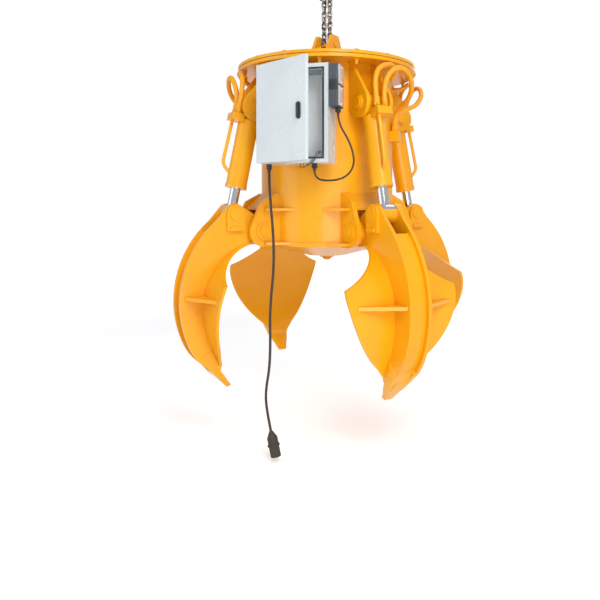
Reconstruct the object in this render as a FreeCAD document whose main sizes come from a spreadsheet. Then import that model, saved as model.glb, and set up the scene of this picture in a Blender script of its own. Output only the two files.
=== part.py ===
import FreeCAD
import Part
import Sketcher
import math
import os
import re

# Four-jaw electro-hydraulic grab that hangs on a two-strand chain.
# Millimetres and degrees. +Z is up. The origin is the centre of the suspension eye's bore.
# The control box faces -Y. The jaws stand at 45 degrees to the box: lf and rf in front, lb and rb behind.

SIZES = [
    # suspension eye and chain
    ("eye_bore_radius", 30, "suspension eye, bore for the crane's hook or pin"),
    ("eye_rim_width", 28, "suspension eye, metal around the bore"),
    ("eye_thickness", 36, "suspension eye, thickness of the forged plate"),
    ("eye_pin_drop", 108, "suspension eye, bore centre down to the chain pin"),
    ("yoke_ear_plate", 16, "suspension eye, thickness of each ear of the yoke"),
    ("yoke_bridge_height", 22, "suspension eye, height of the bridge over the ears"),
    ("yoke_bridge_top_drop", 46, "suspension eye, bore centre down to the top of the bridge"),
    ("yoke_width", 44, "suspension eye, width of the bridge and the ears"),
    ("chain_pin_radius", 12.7, "radius of the pins that the end links hang on"),
    ("chain_wire", 10, "chain, wire diameter"),
    ("link_pitch", 32, "chain, inner length of a link"),
    ("link_inner_width", 13, "chain, inner width of a link"),
    ("link_count", 7, "chain, plain links in one strand"),
    ("end_link_length", 50, "chain, inner length of an end link"),
    ("end_link_width", 27, "chain, inner width of an end link"),
    ("strand_spacing", 40, "chain, distance between the two strands"),
    # lifting lugs on the cover
    ("lug_azimuth", 344, "direction of the lug pin in plan"),
    ("lug_spacing", 101, "distance between the middles of the two lug plates"),
    ("lug_plate", 20, "thickness of a lug plate"),
    ("lug_pin_height", 150, "lug pin above the cover"),
    ("lug_rise", 52, "lug plate above the pin"),
    ("lug_top_half_width", 34, "half width of a lug plate at its top"),
    ("lug_shoulder_out", 14, "half width gained from the top to the shoulder of a lug plate"),
    ("lug_foot_half_width", 130, "half width of a lug plate at its foot"),
    ("lug_gusset_reach", 80, "reach of the gusset outside each lug plate"),
    ("lug_gusset_height", 105, "height of that gusset"),
    ("lug_gusset_plate", 15, "thickness of that gusset"),
    ("lug_pin_head_radius", 22, "lug pin, radius of the head discs"),
    ("lug_pin_head_plate", 7, "lug pin, thickness of the head discs"),
    # cover, gasket and drum
    ("cover_overhang", 138, "cover and flange, beyond the drum"),
    ("cover_plate", 16, "thickness of the cover"),
    ("gasket_inset", 7, "gasket, inside the cover's rim"),
    ("gasket_plate", 4, "thickness of the gasket"),
    ("flange_plate", 18, "thickness of the drum's flange"),
    ("bolt_count", 16, "bolts round the cover"),
    ("bolt_circle_inset", 31, "bolts' circle, inside the cover's rim"),
    ("bolt_shank_radius", 8, "bolt, shank radius"),
    ("bolt_head_radius", 13.9, "bolt, hexagon head, radius over corners"),
    ("bolt_head_height", 10, "bolt, height of the head"),
    ("bolt_nut_height", 13, "bolt, height of the nut"),
    ("bolt_stud_rest", 16, "bolt, thread that stands out below the nut"),
    ("drum_radius", 390, "outer radius of the drum"),
    ("drum_wall", 10, "wall of the drum"),
    ("drum_height", 1014, "drum, from the flange's top to the bottom edge"),
    ("drum_ring_plate", 12, "thickness of the ring round the drum's foot"),
    ("drum_ring_height", 22, "height of that ring"),
    ("cone_drop", 70, "height of the conical bottom"),
    ("cone_foot_radius", 110, "radius of the conical bottom's flat"),
    ("cone_wall", 10, "wall of the conical bottom"),
    ("drain_boss_radius", 42, "radius of the drain boss"),
    ("drain_boss_height", 12, "height of the drain boss below the flat"),
    ("drain_plug_radius", 27, "radius of the drain plug"),
    ("drain_plug_height", 24, "height of the drain plug"),
    ("motor_radius", 150, "electric motor, radius"),
    ("motor_height", 420, "electric motor, height"),
    ("pump_radius", 85, "pump, radius"),
    ("pump_height", 190, "pump, height"),
    # top hinges of the cylinders
    ("cylinder_pin_stand", 98, "cylinder's top pin, outside the drum"),
    ("cylinder_pin_drop", 267, "cylinder's top pin, below the cover's top"),
    ("cylinder_pin_radius", 30, "radius of the cylinder's top pin"),
    ("barrel_eye_width", 123.4, "width of the cylinder's top eye"),
    ("running_gap", 0.3, "side gap between a turning eye and the plates beside it"),
    ("pin_clearance", 0.05, "radial clearance of a pin that turns in its bore"),
    ("top_cheek_plate", 20, "thickness of a top bracket's cheek"),
    ("top_cheek_radius", 78, "top bracket, rounding about the pin"),
    ("top_cheek_shoulder", 15, "top bracket, width of the cheek at the flange"),
    ("top_cheek_foot_drop", 30, "top bracket, below the pin where the cheek meets the drum"),
    ("top_boss_radius", 38, "top bracket, radius of the boss on the cheek"),
    ("top_boss_plate", 10, "top bracket, height of that boss"),
    # jaw hinges
    ("hinge_pin_stand", 70, "jaw's hinge pin, outside the drum"),
    ("hinge_pin_rise", 82, "jaw's hinge pin, above the drum's bottom edge"),
    ("hinge_pin_radius", 30, "radius of the jaw's hinge pin"),
    ("hinge_eye_width", 199.4, "width of the jaw's hinge tube"),
    ("hinge_eye_radius", 60, "outer radius of the jaw's hinge tube"),
    ("low_cheek_plate", 25, "thickness of a bottom bracket's cheek"),
    ("low_cheek_radius", 84, "bottom bracket, rounding about the hinge pin"),
    ("low_cheek_top_rise", 210, "bottom bracket, above the pin where the cheek meets the drum"),
    ("low_cheek_knee_rise", 165, "bottom bracket, knee of the cheek above the pin"),
    ("low_cheek_knee_reach", 18, "bottom bracket, knee of the cheek outside the pin"),
    ("low_boss_radius", 49, "bottom bracket, radius of the boss on the cheek"),
    ("low_boss_plate", 8, "bottom bracket, height of that boss"),
    ("web_plate", 14, "bottom bracket, thickness of the sloping web"),
    ("web_low_rise", 117, "bottom bracket, lower edge of the web above the pin"),
    ("web_low_reach", 17, "bottom bracket, lower edge of the web outside the pin"),
    ("web_top_rise", 212, "bottom bracket, upper edge of the web above the pin"),
    ("shelf_plate", 14, "stiffening shelf beside a cheek, thickness"),
    ("shelf_reach", 5, "stiffening shelf, beyond the hinge pin"),
    ("shelf_length", 92, "stiffening shelf, length along the drum"),
    ("shelf_square", 30, "stiffening shelf, length of its full width"),
    ("shelf_rise", 120, "upper shelf, above the hinge pin"),
    ("shelf_drop", 66, "lower shelf, below the hinge pin"),
    # jaw, in a frame whose origin is its hinge pin
    ("rod_pin_out", 150, "rod pin, outside the hinge pin"),
    ("rod_pin_up", 98, "rod pin, above the hinge pin"),
    ("rod_pin_radius", 25, "radius of the rod pin"),
    ("arm_end_radius", 55, "rounding of the arm about the rod pin"),
    ("rib_half_spacing", 65, "half width over the two ribs"),
    ("rib_plate", 20, "thickness of a rib"),
    ("rib_arc_radius", 566, "radius of the ribs' outer edge"),
    ("rib_arc_centre_out", -114, "centre of that arc, outside the hinge pin"),
    ("rib_arc_centre_up", -370, "centre of that arc, above the hinge pin"),
    ("rib_arc_start", 50, "angle where that arc starts"),
    ("rib_arc_end", -25, "angle where that arc ends"),
    ("nose_arc_radius", 300, "radius of the ribs' outer edge near the tooth"),
    ("nose_arc_end", -42, "angle where the ribs end at the tooth"),
    ("crown_out", 331, "widest point of the shell, outside the hinge pin"),
    ("crown_up", -400, "widest point of the shell, above the hinge pin"),
    ("shell_top_radius", 350, "radius of the shell above its widest point"),
    ("shell_low_radius", 500, "radius of the shell below its widest point"),
    ("shell_plate", 14, "thickness of the shell"),
    ("shell_top_angle", 82, "angle where the shell ends at the top"),
    ("shell_arc_end_up", -600, "level where the shell goes straight"),
    ("shell_foot_up", -715, "shell's lower end, above the hinge pin"),
    ("neck_flare_rise", 45, "height of the taper above the shell's lower end"),
    ("neck_flare_out", 40, "width of that taper on each side"),
    ("wing_corner_height", 38, "height of the wings' straight corners"),
    ("shell_neck_half_width", 70, "half width of the shell at both ends"),
    ("shell_top_up", -75, "level where the wings start"),
    ("wing_half_width", 328, "half width of the shell at the wings' corners"),
    ("wing_corner_up", -262, "level of the wings' corners"),
    ("wing_top_radius", 600, "radius of the wings' upper edge"),
    ("wing_low_radius", 625, "radius of the wings' lower edge"),
    ("strip_recess", 20, "back strip, below the ribs' outer edge"),
    ("strip_plate", 12, "thickness of the back strip"),
    ("strip_start", 43, "angle where the back strip starts"),
    ("gusset_up", -345, "level of the wing gussets"),
    ("gusset_plate", 18, "thickness of the wing gussets"),
    ("gusset_half_width", 275, "half width over the wing gussets"),
    ("gusset_out", 432, "reach of the wing gussets at the ribs"),
    ("doubler_plate", 20, "thickness of the doubler at the rod pin"),
    ("doubler_half_width", 50, "half width of that doubler"),
    ("doubler_drop", 94, "length of that doubler below the rod pin"),
    ("pin_head_radius", 36, "rod pin, radius of its head"),
    ("pin_head_plate", 6, "rod pin, thickness of its head"),
    ("keeper_length", 64, "rod pin's keeper bar, length"),
    ("keeper_height", 20, "rod pin's keeper bar, height"),
    ("keeper_plate", 10, "rod pin's keeper bar, thickness"),
    ("keeper_inset", 2, "rod pin's keeper bar, above the doubler's lower edge"),
    # tooth
    ("tooth_half_width", 70, "tooth, half width at its root"),
    ("tooth_root_up", -625, "tooth, level of its root on the shell"),
    ("tooth_back_end", -53, "tooth, angle where its back goes straight"),
    ("tooth_tip_out", 178, "tooth, back of the tip, outside the hinge pin"),
    ("tooth_tip_up", -852, "tooth, back of the tip, above the hinge pin"),
    ("tooth_tip_thickness", 22, "tooth, thickness at the tip"),
    ("tooth_face_out", 228, "tooth, knee of its face, outside the hinge pin"),
    ("tooth_face_up", -748, "tooth, knee of its face, above the hinge pin"),
    ("tooth_tip_half_width", 20, "tooth, half width at the tip"),
    ("tooth_root_band", 65, "tooth, height of its parallel root"),
    ("tooth_knee_half_width", 36, "tooth, half width where its sides turn to the tip"),
    ("tooth_knee_rise", 40, "tooth, height of that turn above the tip"),
    ("tooth_side_radius", 225, "tooth, radius of its rounded sides"),
    ("tooth_tip_margin", 10, "tooth, outline below the tip's level"),
    ("tooth_recess_fade", 0.3, "share of the tooth's straight back where the recess runs out"),
    ("tooth_recess_half_width", 36, "tooth, half width of the recess in its back"),
    # cylinder, in a frame whose origin is its top pin
    ("barrel_radius", 57.5, "outer radius of the cylinder"),
    ("barrel_bore_radius", 42.5, "bore of the cylinder"),
    ("barrel_top_drop", 75, "top pin to the cylinder's shoulder"),
    ("barrel_foot_drop", 458, "top pin to the gland's face"),
    ("barrel_cap", 36, "thickness of the cylinder's head"),
    ("gland_height", 28, "height of the gland"),
    ("gland_ring", 2.5, "gland's flange and head's flange, beyond the barrel"),
    ("head_ring_height", 12, "height of the flange at the cylinder's shoulder"),
    ("barrel_neck_radius", 46, "radius of the neck under the eye"),
    ("barrel_eye_radius", 50, "radius of the top eye"),
    ("rod_radius", 28, "radius of the rod"),
    ("piston_height", 36, "height of the piston"),
    ("piston_drop", 150, "top pin to the piston's middle, at rest"),
    ("piston_clearance", 0.1, "radial clearance of the piston"),
    ("rod_eye_radius", 50, "radius of the rod's eye"),
    ("rod_eye_slack", 9, "radial slack of the rod's eye on its pin"),
    ("port_block_reach", 112, "port block, from the cylinder's axis to its outer face"),
    ("port_block_half_width", 45, "port block, half width"),
    ("port_block_top_drop", 52, "port block, top pin to its top"),
    ("port_block_height", 40, "port block, height"),
    ("port_pitch", 49, "distance between the two hose fittings"),
    ("port_reach", 80, "hose fittings, distance from the cylinder's axis"),
    ("fitting_radius", 13, "hose fitting, radius"),
    ("fitting_height", 22, "hose fitting, height"),
    ("pipe_radius", 9.5, "radius of the oil pipe"),
    ("pipe_reach", 87, "oil pipe, distance from the cylinder's axis"),
    ("pipe_bend_drop", 338, "oil pipe, top pin to its bend"),
    ("pipe_bow", 6, "oil pipe, further out at its bend than at the block"),
    ("pipe_root", 8, "length of the oil pipe and the fittings inside what they enter"),
    ("pipe_end_drop", 378, "oil pipe, top pin to its lower end"),
    ("hose_diameter", 28, "hydraulic hose, outer diameter"),
    ("hose_swing_gap", 2.6, "hose end above its fitting, so that the fitting can swing"),
    # control box
    ("box_width", 364, "control box, width"),
    ("box_height", 500, "control box, height"),
    ("box_depth", 158, "control box, depth of the body"),
    ("box_stand", 60, "control box, back face in front of the drum"),
    ("box_shift", 6, "control box, its middle to the left of the grab's axis"),
    ("box_top_drop", 95, "control box, its top below the cover's top"),
    ("box_sheet", 2, "control box, sheet thickness"),
    ("box_lip", 32, "control box, return lip round the opening"),
    ("door_depth", 20, "door, depth of its pan"),
    ("door_gap", 2, "gap between the door and the box"),
    ("door_open", 29, "angle of the door at rest"),
    ("door_hinge_radius", 5, "door hinge, radius of the barrels"),
    ("door_hinge_length", 40, "door hinge, length of the barrels"),
    ("lock_height", 80, "door lock, height"),
    ("lock_width", 22, "door lock, width"),
    ("lock_edge", 44, "door lock, middle from the door's free edge"),
    ("lock_drop", 262, "door lock, middle below the box's top"),
    ("lock_plate", 6, "door lock, thickness of its dish"),
    ("lever_plate", 9, "door lock, thickness of the lever"),
    ("lever_inset", 5, "door lock, lever inside the dish's outline"),
    ("lever_pin_radius", 5, "door lock, radius of the lever's pin"),
    ("rail_width", 40, "box rail, width"),
    ("rail_offset", 110, "box rail, distance from the middle"),
    ("rail_inset", 30, "box rails, short of the box at each end"),
    ("mounting_plate_inset", 30, "mounting plate, inside the box's outline"),
    ("mounting_plate_sheet", 2.5, "mounting plate, thickness"),
    ("mounting_plate_standoff", 14, "mounting plate, in front of the box's back"),
    ("standoff_radius", 6, "radius of the mounting plate's studs"),
    ("standoff_inset", 15, "mounting plate's studs, inside the plate's edges"),
    ("seal_inset", 20, "door seal, inside the box's outline"),
    ("seal_width", 10, "door seal, width"),
    # heavy connector and cables
    ("connector_depth", 112, "connector, depth along the box's side"),
    ("connector_reach", 50, "connector, height on the box's side"),
    ("connector_front", 10, "connector, behind the box's front"),
    ("connector_corner", 9, "connector, rounding of its outer corners"),
    ("lead_gland_out", 36, "lead's gland, outside the box's side"),
    ("lead_gland_back", 62, "lead's gland, behind the box's front"),
    ("box_gland_out", 91, "lead's second gland under the box, right of the grab's axis"),
    ("box_gland_back", 48, "lead's second gland, behind the box's front"),
    ("supply_gland_out", 162, "supply cable's gland, left of the grab's axis"),
    ("supply_gland_back", 66, "supply cable's gland, behind the box's front"),
    ("connector_top_drop", 4, "connector, below the box's top"),
    ("connector_base_height", 104, "connector, length of the fixed half"),
    ("connector_hood_height", 108, "connector, length of the plug half"),
    ("connector_gap", 1.5, "connector, groove between its halves"),
    ("lead_diameter", 10, "connector lead, diameter"),
    ("supply_diameter", 14, "supply cable, diameter"),
    ("gland_hex_radius", 15, "cable gland, radius over corners"),
    ("gland_drop", 26, "cable gland, length"),
    ("plug_radius", 27, "supply plug, radius"),
    ("plug_length", 130, "supply plug, length"),
    ("plug_tail", 34, "supply plug, length of the tapered tail"),
    ("plug_ring", 5, "supply plug, height of the ring on its body"),
    # hydraulic manifolds on the drum
    ("manifold_stand", 50, "manifold, outer face outside the drum"),
    ("manifold_width", 84, "manifold, width"),
    ("manifold_height", 60, "manifold, height"),
    ("manifold_drop", 410, "manifold, middle below the cover's top"),
]

CORNERS = {"lf": 225, "rf": 315, "rb": 45, "lb": 135}

doc = FreeCAD.newDocument("grab")
sheet = doc.addObject("Spreadsheet::Sheet", "sizes")
for row, (alias, number, meaning) in enumerate(SIZES, 1):
    sheet.set("A%d" % row, meaning)
    sheet.set("B%d" % row, str(number))
    sheet.setAlias("B%d" % row, alias)
doc.recompute()
ALIASES = {alias for alias, number, meaning in SIZES}

# Levels and places that follow from the sizes, each written once as an expression.
DERIVED = {
    "cover_radius": "(drum_radius + cover_overhang)",
    "gasket_radius": "(cover_radius - gasket_inset)",
    "bolt_circle_radius": "(cover_radius - bolt_circle_inset)",
    "drum_ring_radius": "(drum_radius + drum_ring_plate)",
    "cylinder_pin_reach": "(drum_radius + cylinder_pin_stand)",
    "hinge_pin_reach": "(drum_radius + hinge_pin_stand)",
    "manifold_reach": "(drum_radius + manifold_stand)",
    "box_back": "(drum_radius + box_stand)",
    "box_left": "(-box_shift - box_width / 2)",
    "box_right": "(-box_shift + box_width / 2)",
    "chain_top_up": "(chain_pin_radius + running_gap - eye_pin_drop)",
    "lug_pin_up": "(chain_top_up - 2 * end_link_length - link_count * link_pitch + running_gap"
                  " + chain_pin_radius)",
    "cover_up": "(lug_pin_up - lug_pin_height)",
    "flange_up": "(cover_up - cover_plate - gasket_plate)",
    "drum_foot_up": "(flange_up - drum_height)",
    "cylinder_pin_up": "(cover_up - cylinder_pin_drop)",
    "hinge_pin_up": "(drum_foot_up + hinge_pin_rise)",
    "box_top_up": "(cover_up - box_top_drop)",
    "box_foot_up": "(box_top_up - box_height)",
    "box_front": "(box_back + box_depth)",
    "barrel_dx": "(hinge_pin_reach + rod_pin_out - cylinder_pin_reach)",
    "barrel_dz": "(cylinder_pin_up - hinge_pin_up - rod_pin_up)",
}


def expand(expression):
    """Write a derived name out until only sizes are left."""
    text = expression
    while True:
        wider = re.sub(r"\b[a-z_]+\b", lambda m: DERIVED.get(m.group(0), m.group(0)), text)
        if wider == text:
            return text
        text = wider


def value(expression):
    """The number that an expression over the sheet gives now."""
    result = sheet.evalExpression(expand(str(expression)))
    return float(getattr(result, "Value", result))


def bind(obj, prop, expression):
    """Bind a property of an object to an expression over the sheet."""
    text = re.sub(r"\b[a-z_]+\b", lambda m: "sizes." + m.group(0) if m.group(0) in ALIASES else m.group(0),
                  expand(str(expression)))
    obj.setExpression(prop, text)


def vector(x, y, z):
    return FreeCAD.Vector(value(x), value(y), value(z))


def turned(azimuth, reach=0, up=0, tilt=0):
    """Placement of a piece that is modelled at azimuth 0 about its own pin."""
    turn = FreeCAD.Placement(FreeCAD.Vector(), FreeCAD.Rotation(FreeCAD.Vector(0, 0, 1), azimuth))
    shift = FreeCAD.Placement(vector(reach, 0, up), FreeCAD.Rotation(FreeCAD.Vector(0, 1, 0), tilt))
    return turn.multiply(shift)


def keep(obj, node, placement=None):
    """Give a finished piece its name and its place."""
    obj.Label = node
    if placement is not None:
        obj.Placement = placement
    NODES.append(obj)
    return obj


NODES = []


def primitive(kind, name, placement=None, **sizes):
    """A Part primitive whose sizes are bound to the sheet."""
    obj = doc.addObject("Part::" + kind, name)
    for prop, expression in sizes.items():
        bind(obj, prop, expression)
    if placement is not None:
        obj.Placement = placement
    return obj


def block(name, low, high):
    """A box between two corners given as expressions."""
    obj = doc.addObject("Part::Box", name)
    for prop, axis, a, b in zip(("Length", "Width", "Height"), "xyz", low, high):
        bind(obj, prop, "(%s) - (%s)" % (b, a))
        bind(obj, "Placement.Base." + axis, a)
    return obj


def shaft(name, radius, half_width, x=0, z=0):
    """A cylinder along Y, the same length on both sides of the middle plane."""
    obj = primitive("Cylinder", name, Radius=radius, Height="2 * (%s)" % half_width)
    obj.Placement.Rotation = FreeCAD.Rotation(FreeCAD.Vector(1, 0, 0), -90)
    bind(obj, "Placement.Base.x", x)
    bind(obj, "Placement.Base.y", "-(%s)" % half_width)
    bind(obj, "Placement.Base.z", z)
    return obj


def disc(name, radius, height, up=0, x=0, y=0):
    """A cylinder along Z that starts at a level."""
    obj = primitive("Cylinder", name, Radius=radius, Height=height)
    bind(obj, "Placement.Base.x", x)
    bind(obj, "Placement.Base.y", y)
    bind(obj, "Placement.Base.z", up)
    return obj


def cut(name, base, *tools):
    """The base less the tools."""
    tool = tools[0]
    if len(tools) > 1:
        tool = fuse(name + "_tools", *tools)
    obj = doc.addObject("Part::Cut", name)
    obj.Base = base
    obj.Tool = tool
    return obj


def fuse(name, *shapes):
    obj = doc.addObject("Part::MultiFuse", name)
    obj.Shapes = list(shapes)
    obj.Refine = True
    return obj


def common(name, *shapes):
    obj = doc.addObject("Part::MultiCommon", name)
    obj.Shapes = list(shapes)
    return obj


def gather(name, *shapes):
    """Separate solids of one kind in one piece list entry."""
    obj = doc.addObject("Part::Compound", name)
    obj.Links = list(shapes)
    return obj


def arc_centre(a, b, radius):
    """Centre of the arc from a to b, counter-clockwise for a positive radius."""
    middle = ((a[0] + b[0]) / 2, (a[1] + b[1]) / 2)
    dx = b[0] - a[0]
    dy = b[1] - a[1]
    chord = math.hypot(dx, dy)
    rise = math.sqrt(max(radius * radius - chord * chord / 4, 0))
    side = 1 if radius > 0 else -1
    return (middle[0] - side * rise * dy / chord, middle[1] + side * rise * dx / chord)


def draw(sketch, corners):
    """Close an outline through its corners.

    A corner is (x, y) after a straight edge, or (x, y, radius) after an arc, which turns
    counter-clockwise for a positive radius. Text is bound to the sheet, a number is a worked-out point.
    """
    points = [(value(c[0]), value(c[1])) for c in corners]
    count = len(corners)
    for i in range(count):
        a = points[i - 1]
        b = points[i]
        start = FreeCAD.Vector(a[0], a[1], 0)
        end = FreeCAD.Vector(b[0], b[1], 0)
        if len(corners[i]) == 3:
            radius = value(corners[i][2])
            cx, cy = arc_centre(a, b, radius)
            first = math.atan2(a[1] - cy, a[0] - cx)
            last = math.atan2(b[1] - cy, b[0] - cx)
            if radius < 0:
                first, last = last, first
            circle = Part.Circle(FreeCAD.Vector(cx, cy, 0), FreeCAD.Vector(0, 0, 1), abs(radius))
            sketch.addGeometry(Part.ArcOfCircle(circle, first, last))
        else:
            sketch.addGeometry(Part.LineSegment(start, end))
    ends = []
    for i in range(count):
        flipped = len(corners[i]) == 3 and value(corners[i][2]) < 0
        ends.append((2, 1) if flipped else (1, 2))
    for i in range(count):
        following = (i + 1) % count
        sketch.addConstraint(Sketcher.Constraint("Coincident", i, ends[i][1], following, ends[following][0]))
        for kind, text, number in (("DistanceX", corners[i][0], points[i][0]),
                                   ("DistanceY", corners[i][1], points[i][1])):
            index = sketch.addConstraint(Sketcher.Constraint(kind, -1, 1, i, ends[i][1], number))
            if isinstance(text, str):
                bind(sketch, "Constraints[%d]" % index, text)
        if len(corners[i]) == 3:
            radius = abs(value(corners[i][2]))
            index = sketch.addConstraint(Sketcher.Constraint("Radius", i, radius))
            if isinstance(corners[i][2], str):
                bind(sketch, "Constraints[%d]" % index, "abs(%s)" % corners[i][2])
    return sketch


PLANES = {
    "XY": FreeCAD.Rotation(),
    "XZ": FreeCAD.Rotation(FreeCAD.Vector(1, 0, 0), 90),
    "YZ": FreeCAD.Rotation(FreeCAD.Vector(1, 1, 1), 120),
}


def plate(name, plane, corners, thickness, middle=0):
    """A flat plate: an outline on a plane, padded the same way to both sides of its middle."""
    sketch = doc.addObject("Sketcher::SketchObject", name + "_outline")
    normal = PLANES[plane].multVec(FreeCAD.Vector(0, 0, 1))
    sketch.Placement = FreeCAD.Placement(normal * value(middle), PLANES[plane])
    draw(sketch, corners)
    obj = doc.addObject("Part::Extrusion", name)
    obj.Base = sketch
    obj.DirMode = "Normal"
    obj.Symmetric = True
    obj.Solid = True
    bind(obj, "LengthFwd", thickness)
    return obj


def body_sketch(body, role, name, corners):
    """A sketch on one of a body's own origin planes."""
    sketch = body.newObject("Sketcher::SketchObject", name)
    plane = [f for f in body.Origin.OriginFeatures if f.Role == role][0]
    sketch.AttachmentSupport = [(plane, "")]
    sketch.MapMode = "FlatFace"
    draw(sketch, corners)
    return sketch


def turned_body(name, corners):
    """A body turned about its Z axis from a half profile of (radius, level)."""
    body = doc.addObject("PartDesign::Body", name)
    sketch = body_sketch(body, "XZ_Plane", name + "_profile", corners)
    feature = body.newObject("PartDesign::Revolution", name + "_turned")
    feature.Profile = sketch
    feature.ReferenceAxis = (sketch, ["V_Axis"])
    feature.Angle = 360
    return body


def route(points, radius, sides=0):
    """A tube along straight runs joined by tangent arcs, each as large as its two runs allow."""
    nodes = [FreeCAD.Vector(*p) for p in points]
    edges = []
    radii = []
    length = 0
    place = nodes[0]
    for i in range(1, len(nodes) - 1):
        back = nodes[i - 1] - nodes[i]
        ahead = nodes[i + 1] - nodes[i]
        turn = math.pi - back.getAngle(ahead)
        cut_back = 0.45 * min(back.Length, ahead.Length)
        bend = cut_back / math.tan(turn / 2)
        radii.append(bend)
        start = nodes[i] + back.normalize() * cut_back
        end = nodes[i] + ahead.normalize() * cut_back
        bisector = (back + ahead).normalize()
        middle = nodes[i] + bisector * (bend / math.cos(turn / 2) - bend)
        edges.append(Part.LineSegment(place, start).toShape())
        edges.append(Part.Arc(start, middle, end).toShape())
        length += (start - place).Length + bend * turn
        place = end
    edges.append(Part.LineSegment(place, nodes[-1]).toShape())
    length += (nodes[-1] - place).Length
    path = Part.Wire(edges)
    direction = nodes[1] - nodes[0]
    section = Part.Wire(Part.makeCircle(radius, nodes[0], direction))
    if sides:
        corners = section.discretize(sides + 1)
        section = Part.makePolygon(corners)
    pipe = path.makePipeShell([section], True, False)
    return pipe, radii, length


def tube(name, points, diameter, sides=0):
    """A cord, hose or pipe that keeps its section along its route: round, or with a few flat sides."""
    radius = value(diameter) / 2
    shape, radii, length = route(points, radius, sides)
    wanted = math.pi * radius * radius * length
    if sides:
        wanted = sides / 2 * radius * radius * math.sin(2 * math.pi / sides) * length
    print("%s: %.0f long, radii %s, volume %.4f of section x length"
          % (name, length, " ".join("%.0f" % r for r in radii), shape.Volume / wanted))
    obj = doc.addObject("Part::Feature", name)
    obj.Shape = shape
    return obj


def polar(radius, degrees, centre=(0, 0)):
    angle = math.radians(degrees)
    return (centre[0] + radius * math.cos(angle), centre[1] + radius * math.sin(angle))


def tangent_point(centre, radius, outside, side):
    """Where the line from an outside point touches a circle. side 1 turns counter-clockwise."""
    dx = outside[0] - centre[0]
    dy = outside[1] - centre[1]
    away = math.degrees(math.atan2(dy, dx))
    spread = math.degrees(math.acos(radius / math.hypot(dx, dy)))
    return polar(radius, away + side * spread, centre)


# --- suspension eye: a forged eye with a yoke that holds the chain pin ---------------------------
yoke_turn = FreeCAD.Rotation(FreeCAD.Vector(0, 0, 1), value("lug_azimuth"))
eye_ring = shaft("eye_ring", "eye_bore_radius + eye_rim_width", "eye_thickness / 2")
eye_bore = shaft("eye_bore", "eye_bore_radius", "eye_thickness")
ear_in = "(strand_spacing / 2 + chain_wire)"
ear_out = "(%s + yoke_ear_plate)" % ear_in
bridge = block("yoke_bridge",
               ("-" + ear_out, "-yoke_width / 2", "-yoke_bridge_top_drop - yoke_bridge_height"),
               (ear_out, "yoke_width / 2", "-yoke_bridge_top_drop"))
ears = []
for side in (1, -1):
    ear = plate("yoke_ear_%s" % ("left" if side < 0 else "right"), "YZ", [
        ("yoke_width / 2", "-eye_pin_drop", "yoke_width / 2"),
        ("yoke_width / 2", "-yoke_bridge_top_drop - yoke_bridge_height / 2"),
        ("-yoke_width / 2", "-yoke_bridge_top_drop - yoke_bridge_height / 2"),
        ("-yoke_width / 2", "-eye_pin_drop"),
        ("0", "-eye_pin_drop - yoke_width / 2", "yoke_width / 2"),
    ], "yoke_ear_plate", "%d * (%s + yoke_ear_plate / 2)" % (side, ear_in))
    ears.append(ear)
yoke = fuse("yoke", bridge, *ears)
yoke.Placement.Rotation = yoke_turn
pin_length = "2 * %s + 2 * lug_pin_head_plate" % ear_out
chain_pin = primitive("Cylinder", "chain_pin", Radius="chain_pin_radius", Height=pin_length)
chain_pin.Placement = FreeCAD.Placement(
    yoke_turn.multVec(vector("-(%s) / 2" % pin_length, 0, "-eye_pin_drop")),
    yoke_turn.multiply(FreeCAD.Rotation(FreeCAD.Vector(0, 1, 0), 90)))
keep(fuse("eye_all", cut("eye_bored", fuse("eye_body", eye_ring, yoke), eye_bore), chain_pin), "suspension_eye")


# --- chain: two strands of welded links -----------------------------------------------------------
def link_shape(length, width, middle, azimuth):
    """One welded link: straight and 45-degree lengths of wire of eight-sided section."""
    wire = value("chain_wire") / 2
    reach = width / 2 + wire
    rise = (length - width) / 2
    spread = math.cos(math.radians(22.5))
    turn = FreeCAD.Rotation(FreeCAD.Vector(0, 0, 1), azimuth)
    rings = []
    for corner in range(8):
        angle = math.radians(22.5 + 45 * corner)
        lift = rise if corner < 4 else -rise
        ring = []
        for side in range(8):
            turn_angle = math.radians(22.5 + 45 * side)
            out = (reach + wire / spread * math.cos(turn_angle)) / spread
            across = wire / spread * math.sin(turn_angle)
            place = FreeCAD.Vector(out * math.cos(angle), across, out * math.sin(angle) + lift)
            ring.append(middle + turn.multVec(place))
        rings.append(ring)
    faces = []
    for corner in range(8):
        ring = rings[corner]
        following = rings[(corner + 1) % 8]
        for side in range(8):
            other = (side + 1) % 8
            corners = [ring[side], ring[other], following[other], following[side], ring[side]]
            faces.append(Part.Face(Part.makePolygon(corners)))
    return Part.Solid(Part.Shell(faces))


links = []
along = yoke_turn.multVec(FreeCAD.Vector(1, 0, 0))
for side in (1, -1):
    top = value("chain_top_up")
    for number in range(int(value("link_count")) + 2):
        last = number in (0, int(value("link_count")) + 1)
        inner = value("end_link_length" if last else "link_pitch")
        width = value("end_link_width" if last else "link_inner_width")
        place = along * (side * value("strand_spacing") / 2) + FreeCAD.Vector(0, 0, top - inner / 2)
        azimuth = value("lug_azimuth") + (90 if number % 2 == 0 else 0)
        links.append(link_shape(inner, width, place, azimuth))
        top -= inner
chain = doc.addObject("Part::Feature", "chain")
chain.Shape = Part.makeCompound(links)
keep(chain, "chain_links")

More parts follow.
